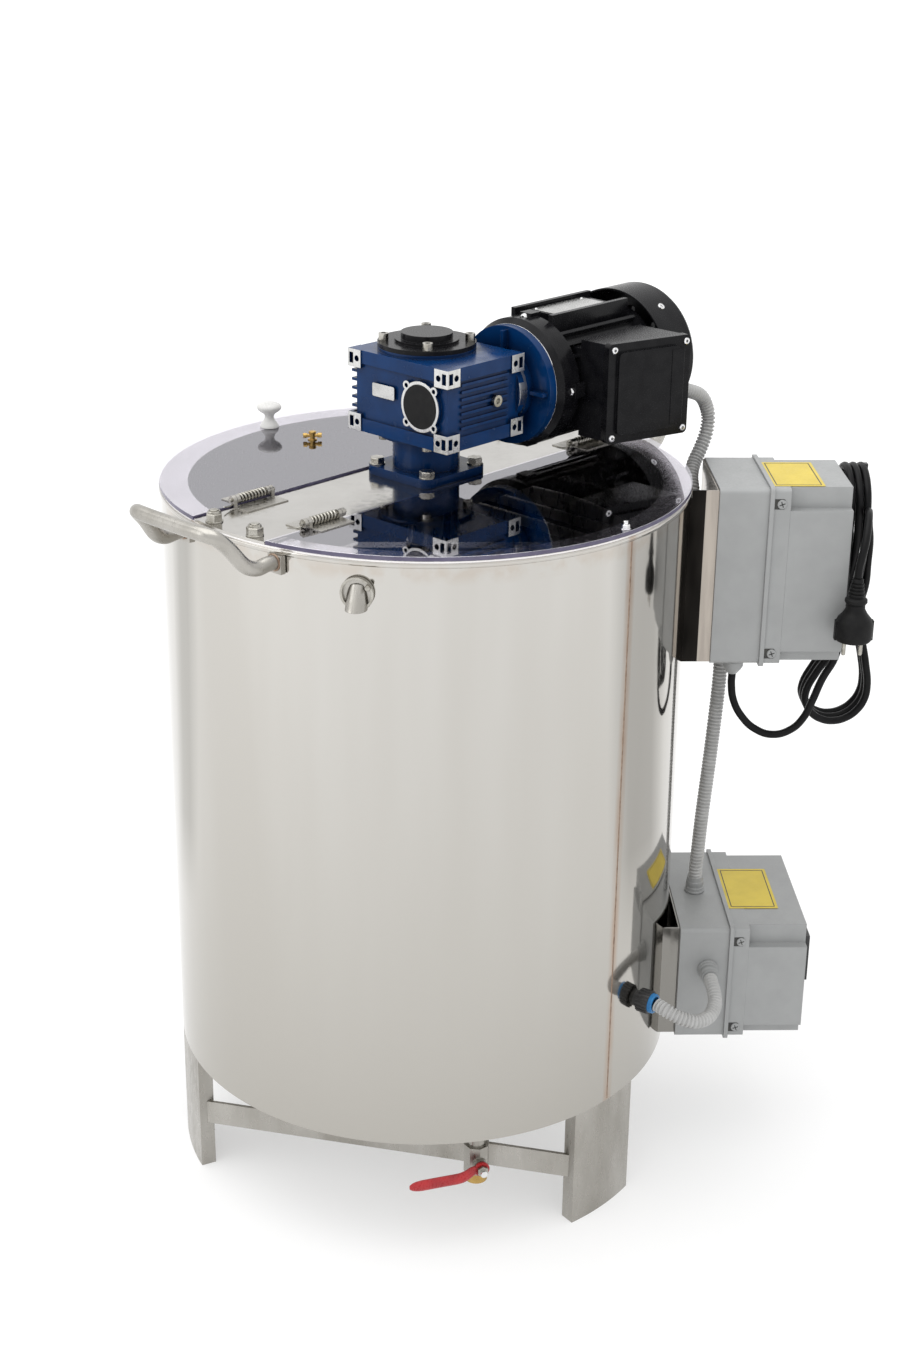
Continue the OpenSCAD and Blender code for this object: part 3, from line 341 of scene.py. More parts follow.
def lid_finish():
    """Smoked clear sheet that mirrors strongly; its cut edge is a deep lilac."""
    made = Finish("smoked_sheet")
    made.tree.nodes.remove(made.shader)

    def either(share, first, second):
        """Blends two shaders."""
        blend = made.node("ShaderNodeMixShader")
        for source, socket in zip((share, first, second), blend.inputs):
            made.join(source, socket)
        return blend.outputs[0]

    haze = made.noise(14, detail=3.0)
    clear = made.node("ShaderNodeBsdfTransparent")
    made.join(made.mix(made.spread(haze, 0, 1), (0.90, 0.89, 0.93), (0.87, 0.86, 0.90)),
              clear.inputs["Color"])
    mirror = made.node("ShaderNodeBsdfGlossy")
    made.join((0.93, 0.92, 0.97, 1), mirror.inputs["Color"])
    made.join(made.spread(haze, 0.012, 0.035), mirror.inputs["Roughness"])
    made.join(made.relief(made.noise(3.5, detail=1.0), 1.2), mirror.inputs["Normal"])
    fresnel = made.node("ShaderNodeFresnel")
    made.join(4.2, fresnel.inputs["IOR"])
    cut = made.node("ShaderNodeBsdfPrincipled")
    cut_colour = made.mix(made.spread(made.noise(50), 0, 1), (0.075, 0.065, 0.115),
                          (0.11, 0.10, 0.16))
    made.join(cut_colour, cut.inputs["Base Color"])
    made.join(0.25, cut.inputs["Roughness"])
    normal = made.axes(made.coordinates.outputs["Normal"])
    upright = made.calculate("LESS_THAN", made.calculate("ABSOLUTE", normal[2]), 0.5)
    # Seen from inside, a face lets all light through, as the sheet has two faces
    leaving = made.node("ShaderNodeNewGeometry").outputs["Backfacing"]
    unseen = made.node("ShaderNodeBsdfTransparent").outputs[0]
    face = either(fresnel.outputs[0], clear.outputs[0], mirror.outputs[0])
    sheet = either(leaving, either(upright, face, cut.outputs[0]), unseen)
    made.join(sheet, made.tree.nodes["Material Output"].inputs["Surface"])
    return made


# In metres: where the upper bracket's web ends towards its box, and the levels that tell the upper
# bracket from the lower one
WEB_END = 0.311
UPPER_BRACKET_Z = 0.6
LOWER_BRACKET_Z = 0.4


def bracket_finish():
    """Polished sheet whose web near the tank is painted near-black, a painted reflection of the
    dark gap; the outer strip stays bright, and the lower bracket gets a darker copy of the steel as
    painted shade.
    """
    made = Finish("bracket_sheet")
    x, y, z = made.axes()
    out = made.product(made.calculate("SUBTRACT", x, y), math.sqrt(0.5))
    # Painted reflection: the web near the tank is coloured near-black for the dark gap that it
    # mirrors.
    web = made.product(made.calculate("LESS_THAN", out, WEB_END),
                       made.calculate("GREATER_THAN", z, UPPER_BRACKET_Z),
                       made.spread(made.noise(9, (1, 1, 0.3)), 0.9, 1.0))
    fine = made.noise(120, (1, 1, 0.1))
    bright = made.mix(made.spread(fine, 0, 1), (0.41, 0.37, 0.325), (0.34, 0.305, 0.27))
    # Painted shade: the lower bracket gets a darker copy of the same steel.
    lower = made.calculate("LESS_THAN", z, LOWER_BRACKET_Z)
    bright = made.mix(lower, bright, (0.24, 0.232, 0.215))
    return made.set(Base_Color=made.mix(web, bright, (0.0006, 0.0006, 0.0007)), Metallic=1.0,
                    Roughness=made.spread(fine, 0.1, 0.2),
                    Normal=made.relief(fine, 0.04, made.edges(0.4)[0]))


# Two colours, range of roughness, grain of the patches, relief in millimetres, then what differs
LOOKS = {
    "polished_steel": ((0.52, 0.505, 0.48), (0.46, 0.445, 0.42), (0.10, 0.2), 14, 0.05,
                       {"metal": 1.0, "edge_radius": 0.5}),
    "brushed_steel": ((0.44, 0.425, 0.395), (0.33, 0.315, 0.285), (0.24, 0.40), 22, 0.06,
                      {"metal": 1.0, "stretch": (1, 1, 0.3), "edge_radius": 0.5}),
    "zinc_fasteners": ((0.48, 0.465, 0.425), (0.30, 0.285, 0.25), (0.16, 0.34), 90, 0.05,
                       {"metal": 1.0, "edge_radius": 0.3}),
    "ground_steel": ((0.55, 0.55, 0.54), (0.45, 0.45, 0.44), (0.2, 0.32), 60, 0.03,
                     {"metal": 1.0, "edge_radius": 0.4}),
    "chrome": ((0.78, 0.78, 0.78), (0.70, 0.70, 0.71), (0.05, 0.12), 40, 0.01,
               {"metal": 1.0, "edge_radius": 0.3}),
    "brass": ((0.55, 0.37, 0.13), (0.42, 0.27, 0.09), (0.22, 0.4), 80, 0.06,
              {"metal": 1.0, "edge_radius": 0.4}),
    "bronze": ((0.42, 0.25, 0.10), (0.32, 0.19, 0.08), (0.25, 0.42), 60, 0.06,
               {"metal": 1.0, "edge_radius": 0.3}),
    "dark_iron": ((0.16, 0.11, 0.07), (0.10, 0.07, 0.05), (0.4, 0.6), 50, 0.1,
                  {"metal": 0.6, "edge_radius": 0.4}),
    "black_paint": ((0.008, 0.008, 0.009), (0.004, 0.004, 0.005), (0.16, 0.30), 70, 0.10,
                    {"edge_radius": 0.8, "edge_wear_and_highlight_colour": (0.015, 0.015, 0.016),
                     "Specular_IOR_Level": 0.13}),
    "red_vinyl": ((0.40, 0.012, 0.016), (0.30, 0.008, 0.012), (0.22, 0.4), 60, 0.2,
                  {"edge_wear_and_highlight_colour": (0.46, 0.04, 0.04)}),
    "white_plastic": ((0.60, 0.595, 0.58), (0.55, 0.545, 0.53), (0.22, 0.34), 70, 0.03, {}),
    # The grey plastic's lighter edge colour is a painted highlight.
    "grey_plastic": ((0.31, 0.316, 0.316), (0.29, 0.296, 0.296), (0.38, 0.5), 40, 0.05,
                     {"edge_radius": 1.0, "edge_wear_and_highlight_colour": (0.36, 0.366, 0.366)}),
    "grey_conduit": ((0.43, 0.43, 0.425), (0.37, 0.37, 0.365), (0.38, 0.52), 60, 0.06,
                     {"edge_radius": 0}),
    "black_plastic": ((0.012, 0.012, 0.013), (0.02, 0.02, 0.021), (0.3, 0.46), 90, 0.08,
                      {"edge_wear_and_highlight_colour": (0.05, 0.05, 0.05)}),
    "black_rubber": ((0.003, 0.003, 0.0035), (0.006, 0.006, 0.006), (0.45, 0.62), 120, 0.1,
                     {"edge_radius": 0.5, "edge_wear_and_highlight_colour": (0.016, 0.016, 0.016),
                      "Specular_IOR_Level": 0.2}),
    "cord_rubber": ((0.0025, 0.0025, 0.003), (0.005, 0.005, 0.0055), (0.34, 0.48), 60, 0.06,
                    {"edge_radius": 0, "Specular_IOR_Level": 0.16}),
    "weld_bead": ((0.34, 0.26, 0.20), (0.22, 0.15, 0.11), (0.3, 0.5), 120, 0.2,
                  {"metal": 0.9, "edge_radius": 0.3}),
    "yellow_label": ((0.62, 0.47, 0.025), (0.56, 0.42, 0.02), (0.3, 0.4), 40, 0.02,
                     {"edge_radius": 0}),
    # Near-black: the labels' print, and the painted shade in screw slots and seats.
    "label_ink_and_shade": ((0.02, 0.02, 0.02), (0.035, 0.035, 0.03), (0.4, 0.5), 90, 0.02,
                  {"edge_radius": 0}),
    "blue_ring": ((0.01, 0.17, 0.42), (0.01, 0.13, 0.34), (0.3, 0.42), 80, 0.05, {}),
    # Painted shade: the drum's inside is a darkened copy of the polished steel.
    "drum_painted_shade": ((0.13, 0.127, 0.122), (0.10, 0.098, 0.094), (0.16, 0.3), 14, 0.05,
                    {"metal": 1.0, "edge_radius": 0.5}),
    # Painted light: the jacket's top ring is a brighter copy of the polished steel.
    "jacket_painted_light": ((0.80, 0.78, 0.77), (0.72, 0.70, 0.69), (0.12, 0.22), 18, 0.04,
                   {"metal": 1.0, "edge_radius": 0.5}),
}
MATERIAL = {name: plain_finish(name, *look, **rest).material
            for name, (*look, rest) in LOOKS.items()}
MATERIAL.update(polished_sheet=tank_finish().material, bracket_sheet=bracket_finish().material,
                blue_paint=gearbox_finish().material, clear_plastic=lid_finish().material)

# Nodes of the CAD whose look isn't that of their slot
SPECIAL = {"box_brackets": "bracket_sheet", "inner_drum": "drum_painted_shade",
           "jacket_ring": "jacket_painted_light"}
for entry in frame["record"]["subparts"]:
    shown = frame["nodes"][entry["node"]]
    if not shown.material_slots:
        shown.data.materials.append(None)
    for own_slot in shown.material_slots:
        own_slot.material = MATERIAL[SPECIAL.get(entry["node"], entry["material_slot"])]

# ---------- shapes ----------


def shift(x, y, z):
    return Matrix.Translation((x, y, z))


def turn(degrees, axis="Z"):
    return Matrix.Rotation(math.radians(degrees), 4, axis)


def aim(place, direction):
    """A frame at place whose Z axis points along direction."""
    spin = Vector(direction).to_track_quat("Z", "Y").to_matrix()
    return Matrix.Translation(place) @ spin.to_4x4()


BOXES = turn(BOX_TURN)


def smooth(points, steps):
    """The smooth curve through a route, steps points to a stretch."""
    route = [Vector(p) for p in points]
    last = len(route) - 1
    made = []
    for i in range(last):
        a, b, c, d = route[max(i - 1, 0)], route[i], route[i + 1], route[min(i + 2, last)]
        for k in range(steps):
            t = k / steps
            made.append(0.5 * (2 * b + (c - a) * t + (2 * a - 5 * b + 4 * c - d) * t * t
                               + (3 * b - a - 3 * c + d) * t ** 3))
    return made + [route[last]]


def even(points, step):
    """Points spaced step apart along a polyline."""
    made = [points[0]]
    needed = step
    for a, b in zip(points, points[1:]):
        length = (b - a).length
        while needed <= length:
            made.append(a.lerp(b, needed / length))
            needed += step
        needed -= length
    return made


def arc(x, y, r, start, end, steps):
    """Points of an arc in a plane, angles in degrees."""
    return [(x + r * math.cos(math.radians(start + (end - start) * k / steps)),
             y + r * math.sin(math.radians(start + (end - start) * k / steps)))
            for k in range(steps + 1)]


def circle(r, sides):
    return arc(0, 0, r, 0, 360 * (sides - 1) / sides, sides - 1)


def round_rect(w, h, r):
    """Outline of a rectangle with round corners, centred."""
    made = []
    for x, y, start in ((1, 1, 0), (-1, 1, 90), (-1, -1, 180), (1, -1, 270)):
        made += arc(x * (w / 2 - r), y * (h / 2 - r), r, start, start + 90, 5)
    return made


class Build:
    """Collects solids drawn in millimetres and makes one piece of them."""

    def __init__(self):
        self.mesh = bmesh.new()

    def skin(self, rings, loop=False):
        """Faces over rings of points; a ring of one point is a tip. Open ends are closed."""
        made = [[self.mesh.verts.new(Vector(p) * MM) for p in ring] for ring in rings]
        pairs = list(zip(made, made[1:] + made[:1])) if loop else list(zip(made, made[1:]))
        for low, high in pairs:
            n = max(len(low), len(high))
            for i in range(n):
                j = (i + 1) % n
                corners = ([low[i], low[j]] if len(low) > 1 else [low[0]])
                corners += ([high[j], high[i]] if len(high) > 1 else [high[0]])
                self.mesh.faces.new(corners)
        if not loop:
            for end in (made[0], made[-1]):
                if len(end) > 2:
                    self.mesh.faces.new(end)

    def lathe(self, profile, at=Matrix(), sides=48, loop=False):
        """Turns a profile of (radius, height) round Z."""
        rings = []
        for r, z in profile:
            ring = [(0, 0)] if r == 0 else circle(r, sides)
            rings.append([at @ Vector((x, y, z)) for x, y in ring])
        self.skin(rings, loop)

    def prism(self, outline, low, high, at=Matrix(), chamfer=0.0):
        """An outline raised from low to high, with a chamfer on its top edge."""
        levels = [(low, 0), (high - chamfer, 0)]
        if chamfer:
            levels.append((high, chamfer))
        rings = []
        for z, inset in levels:
            ring = []
            for x, y in outline:
                reach = math.hypot(x, y)
                keep = (reach - inset) / reach if reach else 1
                ring.append(at @ Vector((x * keep, y * keep, z)))
            rings.append(ring)
        self.skin(rings)

    def block(self, low, high, at=Matrix()):
        """A box between two opposite corners."""
        outline = [(low[0], low[1]), (high[0], low[1]), (high[0], high[1]), (low[0], high[1])]
        self.skin([[at @ Vector((x, y, z)) for x, y in outline] for z in (low[2], high[2])])

    def tube(self, path, radius, sides=16, flat=1.0, side=(0.31, 0.42, 0.85)):
        """A tube along a path. radius is a number or one for each point; flat squeezes it."""
        path = [Vector(p) for p in path]
        radii = radius if isinstance(radius, list) else [radius] * len(path)
        across = Vector(side)
        rings = []
        for i, (p, r) in enumerate(zip(path, radii)):
            along = (path[min(i + 1, len(path) - 1)] - path[max(i - 1, 0)]).normalized()
            across = (across - across.dot(along) * along).normalized()
            other = along.cross(across)
            rings.append([p + r * (x * across + flat * y * other) for x, y in circle(1, sides)])
        self.skin(rings)

    def piece(self, name, material, slot, body="tank", replaced=(), bevel=0.0, crease=38):
        """The finished piece: on its body, in place of the CAD nodes it replaces; the slot argument
        is not used.
        """
        bmesh.ops.recalc_face_normals(self.mesh, faces=self.mesh.faces)
        data = bpy.data.meshes.new(name)
        self.mesh.to_mesh(data)
        self.mesh.free()
        data.polygons.foreach_set("use_smooth", [True] * len(data.polygons))
        data.set_sharp_from_angle(angle=math.radians(crease))
        data.materials.append(MATERIAL[material])
        made = bpy.data.objects.new(name, data)
        bpy.context.scene.collection.objects.link(made)
        if bevel:
            rounding = made.modifiers.new("rounding", "BEVEL")
            rounding.width = bevel * MM
            rounding.segments = 2
            rounding.limit_method = "ANGLE"
            rounding.angle_limit = math.radians(crease)
            rounding.harden_normals = True
        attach(made, body)
        if replaced:
            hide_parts(*replaced)
        return made


# ---------- mains cord ----------

# Waypoints in the frame of the boxes: from inside the gland to the hank, and from it to the plug
LEAD = [(359, -27, 630), (359, -27, 614), (359, -27, 600), (363, -27, 578), (374, -28, 558),
        (390, -29, 543), (411, -30, 536), (432, -30, 542), (446, -29, 556), (456, -27, 578),
        (466, -24, 604), (480, -20, 630), (484.6, -19.5, 662)]
TAIL = [(490, -4, 650), (502, -5, 680), (511, -6, 712), (512, -6, 745), (512, -6, 770)]
PLUG_PLACE = (483, -88, 753)
# The hank: where its first strand goes up, the spacing and number of its turns, the middle of the
# hook that it hangs on, its half width over the hook and the bend below the box
FIRST_UP = (484.6, -19.5)
STRAND = 9.2
TURNS = 3
HOOK_Y = 25
HOOK_Z = 804
OVER_R = 44.5
UNDER_R = 39
TAIL_R = 41
BEND_STEPS = 8


def hank_turn(k):
    """One turn of the hank: over the hook, down the far side, round under the box and back up."""
    up_x, up_y = FIRST_UP
    near_x, far_x = up_x + STRAND * k, up_x + 1.5 + STRAND * k
    over = [(near_x + (far_x - near_x) * i / BEND_STEPS, HOOK_Y + dy, HOOK_Z + dz)
            for i, (dy, dz) in enumerate(arc(0, 0, OVER_R, 180, 0, BEND_STEPS))]
    down = [(far_x, HOOK_Y + OVER_R, 775), (488 + 9 * k, 67 - 4 * k, 730),
            (503 + 4 * k, 58 - 10 * k, 682), (517 + k, 50 - 12 * k, 642), (526, 45 - 14 * k, 607)]
    y_far, y_near = 44 - 14 * k, 20 - 12 * k
    under = [(491 + dx, y_far + (y_near - y_far) * i / BEND_STEPS, 577 + dz)
             for i, (dx, dz) in enumerate(arc(0, 0, UNDER_R, 0, -180, BEND_STEPS))]
    up = [(464, y_near, 606), (479, y_near - 1, 630)]
    if k < TURNS - 1:
        next_x = near_x + STRAND
        up += [(487 + 3 * k, y_near - 4, 656), (490 + 7 * k, y_near - 12, 690),
               (next_x - 1, (y_near - 22) / 2 - 6, 730), (next_x, up_y, 770)]
    return over + down + under + up


def cord_route():
    """Every waypoint of the lead: up to the hook, round the hank, over again and into the plug."""
    route = LEAD + [(*FIRST_UP, z) for z in (700, 750, 782)]
    for k in range(TURNS):
        route += hank_turn(k)
    end_x, end_y, end_z = TAIL[-1]
    over = [(end_x - 27 * i / BEND_STEPS, end_y - TAIL_R + dy, end_z + 5 + dz)
            for i, (dy, dz) in enumerate(arc(0, 0, TAIL_R, 0, 180, BEND_STEPS)) if i]
    x, y, z = PLUG_PLACE
    return route + TAIL + over + [(x + 0.4, y, z + 11), (x, y, z + 1)]


def make_cord(route):
    """One smooth curve through the route. Returns the object and its length in metres."""
    data = bpy.data.curves.new("mains_lead", "CURVE")
    data.dimensions = "3D"
    data.bevel_depth = CORD_R * MM
    data.bevel_resolution = 4
    data.resolution_u = 6
    data.use_fill_caps = True
    spline = data.splines.new("BEZIER")
    spline.bezier_points.add(len(route) - 1)
    for point, place in zip(spline.bezier_points, route):
        point.co = BOXES @ Vector(place) * MM
        point.handle_left_type = point.handle_right_type = "AUTO"
    data.materials.append(MATERIAL["cord_rubber"])
    made = bpy.data.objects.new("mains_lead", data)
    bpy.context.scene.collection.objects.link(made)
    bpy.context.view_layer.update()
    return made, spline.calc_length()


cord, cord_length = make_cord(cord_route())
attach(cord, "tank")
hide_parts("mains_cord", "cord_hank")

PLUG = BOXES @ shift(*PLUG_PLACE) @ turn(180, "X")
plug = Build()
profile = [(0, 0), (5.6, 0), (6.0, 1)]
for rib in range(5):
    z = 2 + 4 * rib
    swell = 6.6 + 0.7 * rib
    profile += [(swell, z), (swell, z + 2.2), (swell - 1.3, z + 2.6), (swell - 1.3, z + 3.8)]
profile += [(9.8, 22.5), (12.6, 24.5), (12.8, 28), (10.6, 31), (10.8, 36), (14.2, 42), (19.2, 48),
            (21.2, 53), (21.5, 57), (21.5, 69), (21.0, 71.5), (19.6, 73.6), (17.5, 74), (0, 74)]
plug.lathe(profile, PLUG, 56)
for x in (-19.8, 19.8):
    plug.block((x - 2, -4, 50), (x + 2, 4, 73.4), PLUG)
plug = plug.piece("plug_body", "black_rubber", "black_rubber", replaced=["mains_plug"], bevel=0.4)
pins = Build()
for x in (-9.5, 9.5):
    pins.lathe([(0, 70), (2.4, 70), (2.4, 91), (1.9, 92.4), (0, 93)], PLUG @ shift(x, 0, 0), 24)
pins = pins.piece("plug_pins", "zinc_fasteners", "chrome")

# ---------- tank ----------

wall = Build()
wall.lathe([(TANK_R - WALL, LEG_H), (TANK_R, LEG_H), (TANK_R, RIM_Z - 5.5),
            (TANK_R + 0.9, RIM_Z - 4.6), (TANK_R + BEAD, RIM_Z - 3.4),
            (TANK_R + BEAD, RIM_Z - 1.2), (TANK_R + 0.8, RIM_Z - 0.2), (TANK_R, RIM_Z),
            (TANK_R - WALL, RIM_Z)], sides=256, loop=True)
wall.piece("tank_wall", "polished_sheet", "polished_steel", replaced=["tank_shell"])

SEAM_RINGS = 120
SEAM_H = 686

seam = Build()
rings = []
for i in range(SEAM_RINGS):
    z = LEG_H + 2 + i * SEAM_H / (SEAM_RINGS - 1)
    half = 1.5 + 0.35 * dice.random()
    lift = 0.25 + 0.2 * dice.random()
    rings.append([(x, -math.sqrt(TANK_R ** 2 - x * x) + 0.3 - rise, z)
                  for x, rise in ((-half, 0), (-half * 0.5, lift + 0.3), (half * 0.5, lift + 0.3),
                                  (half, 0), (0, -0.4))])
seam.skin(rings)
seam.piece("weld_seam", "weld_bead", "polished_steel")

for side, name in ((1, "right"), (-1, "left")):
    place = turn(0 if side > 0 else 180)
    face = math.sqrt(TANK_R ** 2 - GRIP_Y ** 2) + 6
    half_route = [(face - 1, -GRIP_Y, GRIP_Z), (face + 10, -GRIP_Y, GRIP_Z), (322, -72, 831),
                  (336, -70, 838), (352, -66, 858), (364, -62, 870), (371, -50, 874),
                  (372, -25, 874), (372, 0, 874)]
    route = half_route + [(x, -y, z) for x, y, z in half_route[-2::-1]]
    grip = Build()
    grip.tube([place @ p for p in smooth(route, 6)], 8.0, 28)
    grip.piece(name + "_grip", "brushed_steel", "brushed_steel", replaced=[name + "_handle"])
    plates = Build()
    bead = Build()
    for y in (-GRIP_Y, GRIP_Y):
        plates.block((face - 7, y - 10, GRIP_Z - 12), (face, y + 10, GRIP_Z + 7.7), place)
        ring_path = [place @ Vector((face + 0.4, y + dy, GRIP_Z + dz))
                     for dy, dz in arc(0, 0, 8.4, 0, 360, 40)]
        bead.tube(ring_path, [1.1 + 0.35 * dice.random() for _ in ring_path], 8)
    plates.piece(name + "_grip_plates", "brushed_steel", "brushed_steel", bevel=0.7)
    bead.piece(name + "_grip_welds", "weld_bead", "brushed_steel")

spout_frame = turn(SPOUT_AZ) @ shift(TANK_R + 3, 0, SPOUT_Z)
spout = Build()
spout.lathe([(0, 0), (3.2, 0), (3.2, 4), (2.6, 5.2), (0, 5.6)], spout_frame @ shift(3, 13, 9)
            @ turn(90, "Y"), 24)
spout.lathe([(15.2, -3.0), (17.6, -3.0), (17.9, -1.5), (17.6, 0.4), (15.2, 0.4)],
            spout_frame @ shift(2.2, 0, 0) @ turn(90, "Y"), 48, loop=True)
spout.piece("spout_pin", "zinc_fasteners", "brushed_steel")

# ---------- bridge fasteners and hinges ----------


def hexagon(flats):
    """Outline of a hexagon, given the distance across its flats."""
    return circle(flats / 2 / math.cos(math.pi / 6), 6)


def washer_and_hexagon(build, at, washer_r, flats, h):
    """A washer with a worn rim and a chamfered hexagon of height h on it."""
    build.lathe([(0, 0.02), (washer_r, 0.02), (washer_r, 1.3), (washer_r - 0.3, 1.6), (0, 1.6)],
                at, 48)
    build.prism(hexagon(flats), 1.6, 1.6 + h, at, 0.8)


nuts = Build()
for x in (-1, 1):
    for y in (-1, 1):
        spin = dice.uniform(0, 60)
        stand = shift(BRIDGE_BOLT[0] * x, BRIDGE_BOLT[1] * y, BRIDGE_Z) @ turn(spin)
        washer_and_hexagon(nuts, stand, 9.5, 16, 8.0)
        nuts.lathe([(7.2, 9.5), (7.1, 11), (6.3, 12.3), (5.3, 12.4), (5.2, 11.4), (4.9, 11.4),
                    (4.8, 13.0), (4.3, 13.4), (0, 13.4)], stand, 36)
        stand = shift(COLUMN_BOLT * x, COLUMN_BOLT * y, BRIDGE_Z + COLUMN_FLANGE_T) @ turn(spin)
        washer_and_hexagon(nuts, stand, 9, 15, 6.5)
nuts.piece("bridge_nuts", "zinc_fasteners", "zinc_fasteners", replaced=["bridge_bolts"], bevel=0.3)

COILS = 8
COIL_R = 3.9
COIL_START = 10.8
COIL_LENGTH = 36.4
COIL_POINTS = 14

springs = Build()
for x, side in HINGES:
    middle = Vector((x, side * HINGE_Y, HINGE_Z))
    coil = []
    for k in range(COILS * COIL_POINTS + 1):
        a = math.tau * k / COIL_POINTS
        along = COIL_START + COIL_LENGTH * k / (COILS * COIL_POINTS)
        coil.append(middle + Vector((along, COIL_R * math.cos(a) * side, COIL_R * math.sin(a))))
    springs.tube(coil, 1.45, 10)
    leg = smooth([middle + Vector(p) for p in
                  ((1, -1.5 * side, -3.4), (-3, -3 * side, -4.6), (-10, -5 * side, -4.2),
                   (-16, -6 * side, -2.6))], 5)
    springs.tube(leg, 0.8, 8)
springs.piece("hinge_springs", "zinc_fasteners", "zinc_fasteners")

for side, body in ((1, "left_lid"), (-1, "right_lid")):
    edge = math.degrees(math.asin(LID_EDGE_Y / LID_R))
    outline = [(x, side * y) for x, y in arc(0, 0, LID_R, edge, 180 - edge, 120)]
    sheet = Build()
    sheet.prism(outline, LID_BOTTOM, LID_TOP)
    sheet.piece(body + "_sheet", "clear_plastic", "clear_plastic", body, [body], bevel=0.7)

knob = Build()
knob.lathe([(0, 0), (10.6, 0), (11.4, 0.8), (11.3, 2.4), (10.2, 4.6), (7.8, 7.6), (6.0, 10.6),
            (5.5, 13), (6.0, 15.6), (8.0, 17.8), (11.2, 19.8), (13.8, 22), (14.9, 24.2), (14.9, 26),
            (13.6, 28), (10.6, 29.6), (6, 30.6), (0, 31)], shift(-6, 258, LID_TOP), 64)
knob.piece("lid_knob_turned", "white_plastic", "white_plastic", "left_lid", ["lid_knob"])

fitting = Build()
stand = shift(-7, 181, LID_TOP)
fitting.lathe([(0, 0), (5.5, 0), (5.5, 1.2), (3.2, 1.6), (3.2, 8), (4.4, 8.3), (4.4, 10.2),
               (3.6, 10.8), (0, 10.8)], stand, 28)
fitting.lathe([(0, -11), (3.0, -11), (3.0, -6.5), (2.1, -6), (2.1, 6), (3.0, 6.5), (3.0, 11),
               (0, 11)],
              stand @ shift(0, 0, 5.4) @ turn(-40) @ turn(90, "Y"), 24)
fitting.piece("lid_fitting", "brass", "brass", "left_lid")

bolt = Build()
stand = shift(-3, -293, LID_TOP)
bolt.lathe([(0, 0), (5.4, 0), (5.4, 1), (0, 1)], stand, 32)
bolt.prism(hexagon(8), 1, 5, stand, 0.5)
bolt.lathe([(0, 5), (2.4, 5), (2.4, 8.4), (2.0, 9), (0, 9)], stand, 24)
bolt.piece("lid_bolt", "chrome", "zinc_fasteners", "right_lid", bevel=0.2)

# ---------- gearbox and motor ----------


def pan_screw(build, at, r, h):
    """A cross-slot screw head with a domed rim and a sunk recess."""
    build.lathe([(0, -1), (r, -1), (r, h * 0.45), (r * 0.92, h * 0.8), (r * 0.7, h), (r * 0.42, h),
                 (r * 0.3, h * 0.25), (0, h * 0.25)], at, 28)


def slot_shade_cross(build, at, r, depth=0.35):
    """A thin dark cross, painted shade that stands for the slot of a sunk screw."""
    for spin in (0, 90):
        build.block((-r, -r * 0.16, 0), (r, r * 0.16, depth), at @ turn(spin + 20))


small_screws = Build()
# The dark crosses are painted shade for the screws' slots.
cross = Build()
terminal = shift(*TERMINAL["place"]) @ turn(TERMINAL["turn"])
for x in (7, TERMINAL["width"] - 7):
    for z in (7, TERMINAL["height"] - 7):
        at = terminal @ shift(x, 4, z) @ turn(90, "X")
        pan_screw(small_screws, at, 4.0, 2.4)
        slot_shade_cross(cross, at @ shift(0, 0, 0.62), 1.5, 0.3)
for a in (0, 90, 270):
    at = (shift(SHIELD_X, AXIS_Y, DRIVE_Z) @ turn(a, "X") @ shift(0, 0, SHIELD_SCREW_R)
          @ turn(-90, "Y"))
    pan_screw(small_screws, at, 4.6, 3.6)
for a in (38, 142, 218, 322):
    at = shift(FAN_COVER_X, AXIS_Y, DRIVE_Z) @ turn(a, "X") @ shift(0, 0, FAN_COVER_R)
    pan_screw(small_screws, at, 4.4, 1.8)
    slot_shade_cross(cross, at @ shift(0, 0, 0.5), 1.6, 0.3)
small_screws.piece("motor_screws", "chrome", "zinc_fasteners")
cross.piece("motor_screw_slot_shade", "label_ink_and_shade", "black_plastic")

rim = Build()
rim.lathe([(FLANGE_R - 3.75, 86.4), (FLANGE_R, 86.4), (FLANGE_R, 87.6), (FLANGE_R - 3.75, 87.6)],
          shift(0, AXIS_Y, DRIVE_Z) @ turn(90, "Y"), 128, loop=True)
rim.piece("flange_bright_rim", "chrome", "ground_steel")

MOTOR_PLATE = (186, AXIS_Y, 1018)

plates = Build()
plates.prism(round_rect(88, 44, 2), 0, 0.8, shift(*MOTOR_PLATE))
plates.prism(round_rect(34, 15, 2), 0, 0.8,
             shift(-59.7, 8, DRIVE_Z + 6) @ turn(90, "X") @ turn(-90, "Y"))
plates.piece("rating_plates", "ground_steel", "ground_steel", bevel=0.2)
rivets = Build()
for x in (-40, 40):
    for y in (-18, 18):
        rivets.lathe([(0, 0), (1.9, 0), (1.5, 1.0), (0, 1.3)],
                     shift(*MOTOR_PLATE) @ shift(x, y, 0.6), 16)
rivets.piece("rating_plate_rivets", "chrome", "zinc_fasteners")

panel = Build()
panel.block((84, -0.6, 14), (101, 0.6, 100), terminal)
panel.piece("terminal_side_panel", "black_paint", "black_paint", bevel=0.4)

# ---------- boxes ----------


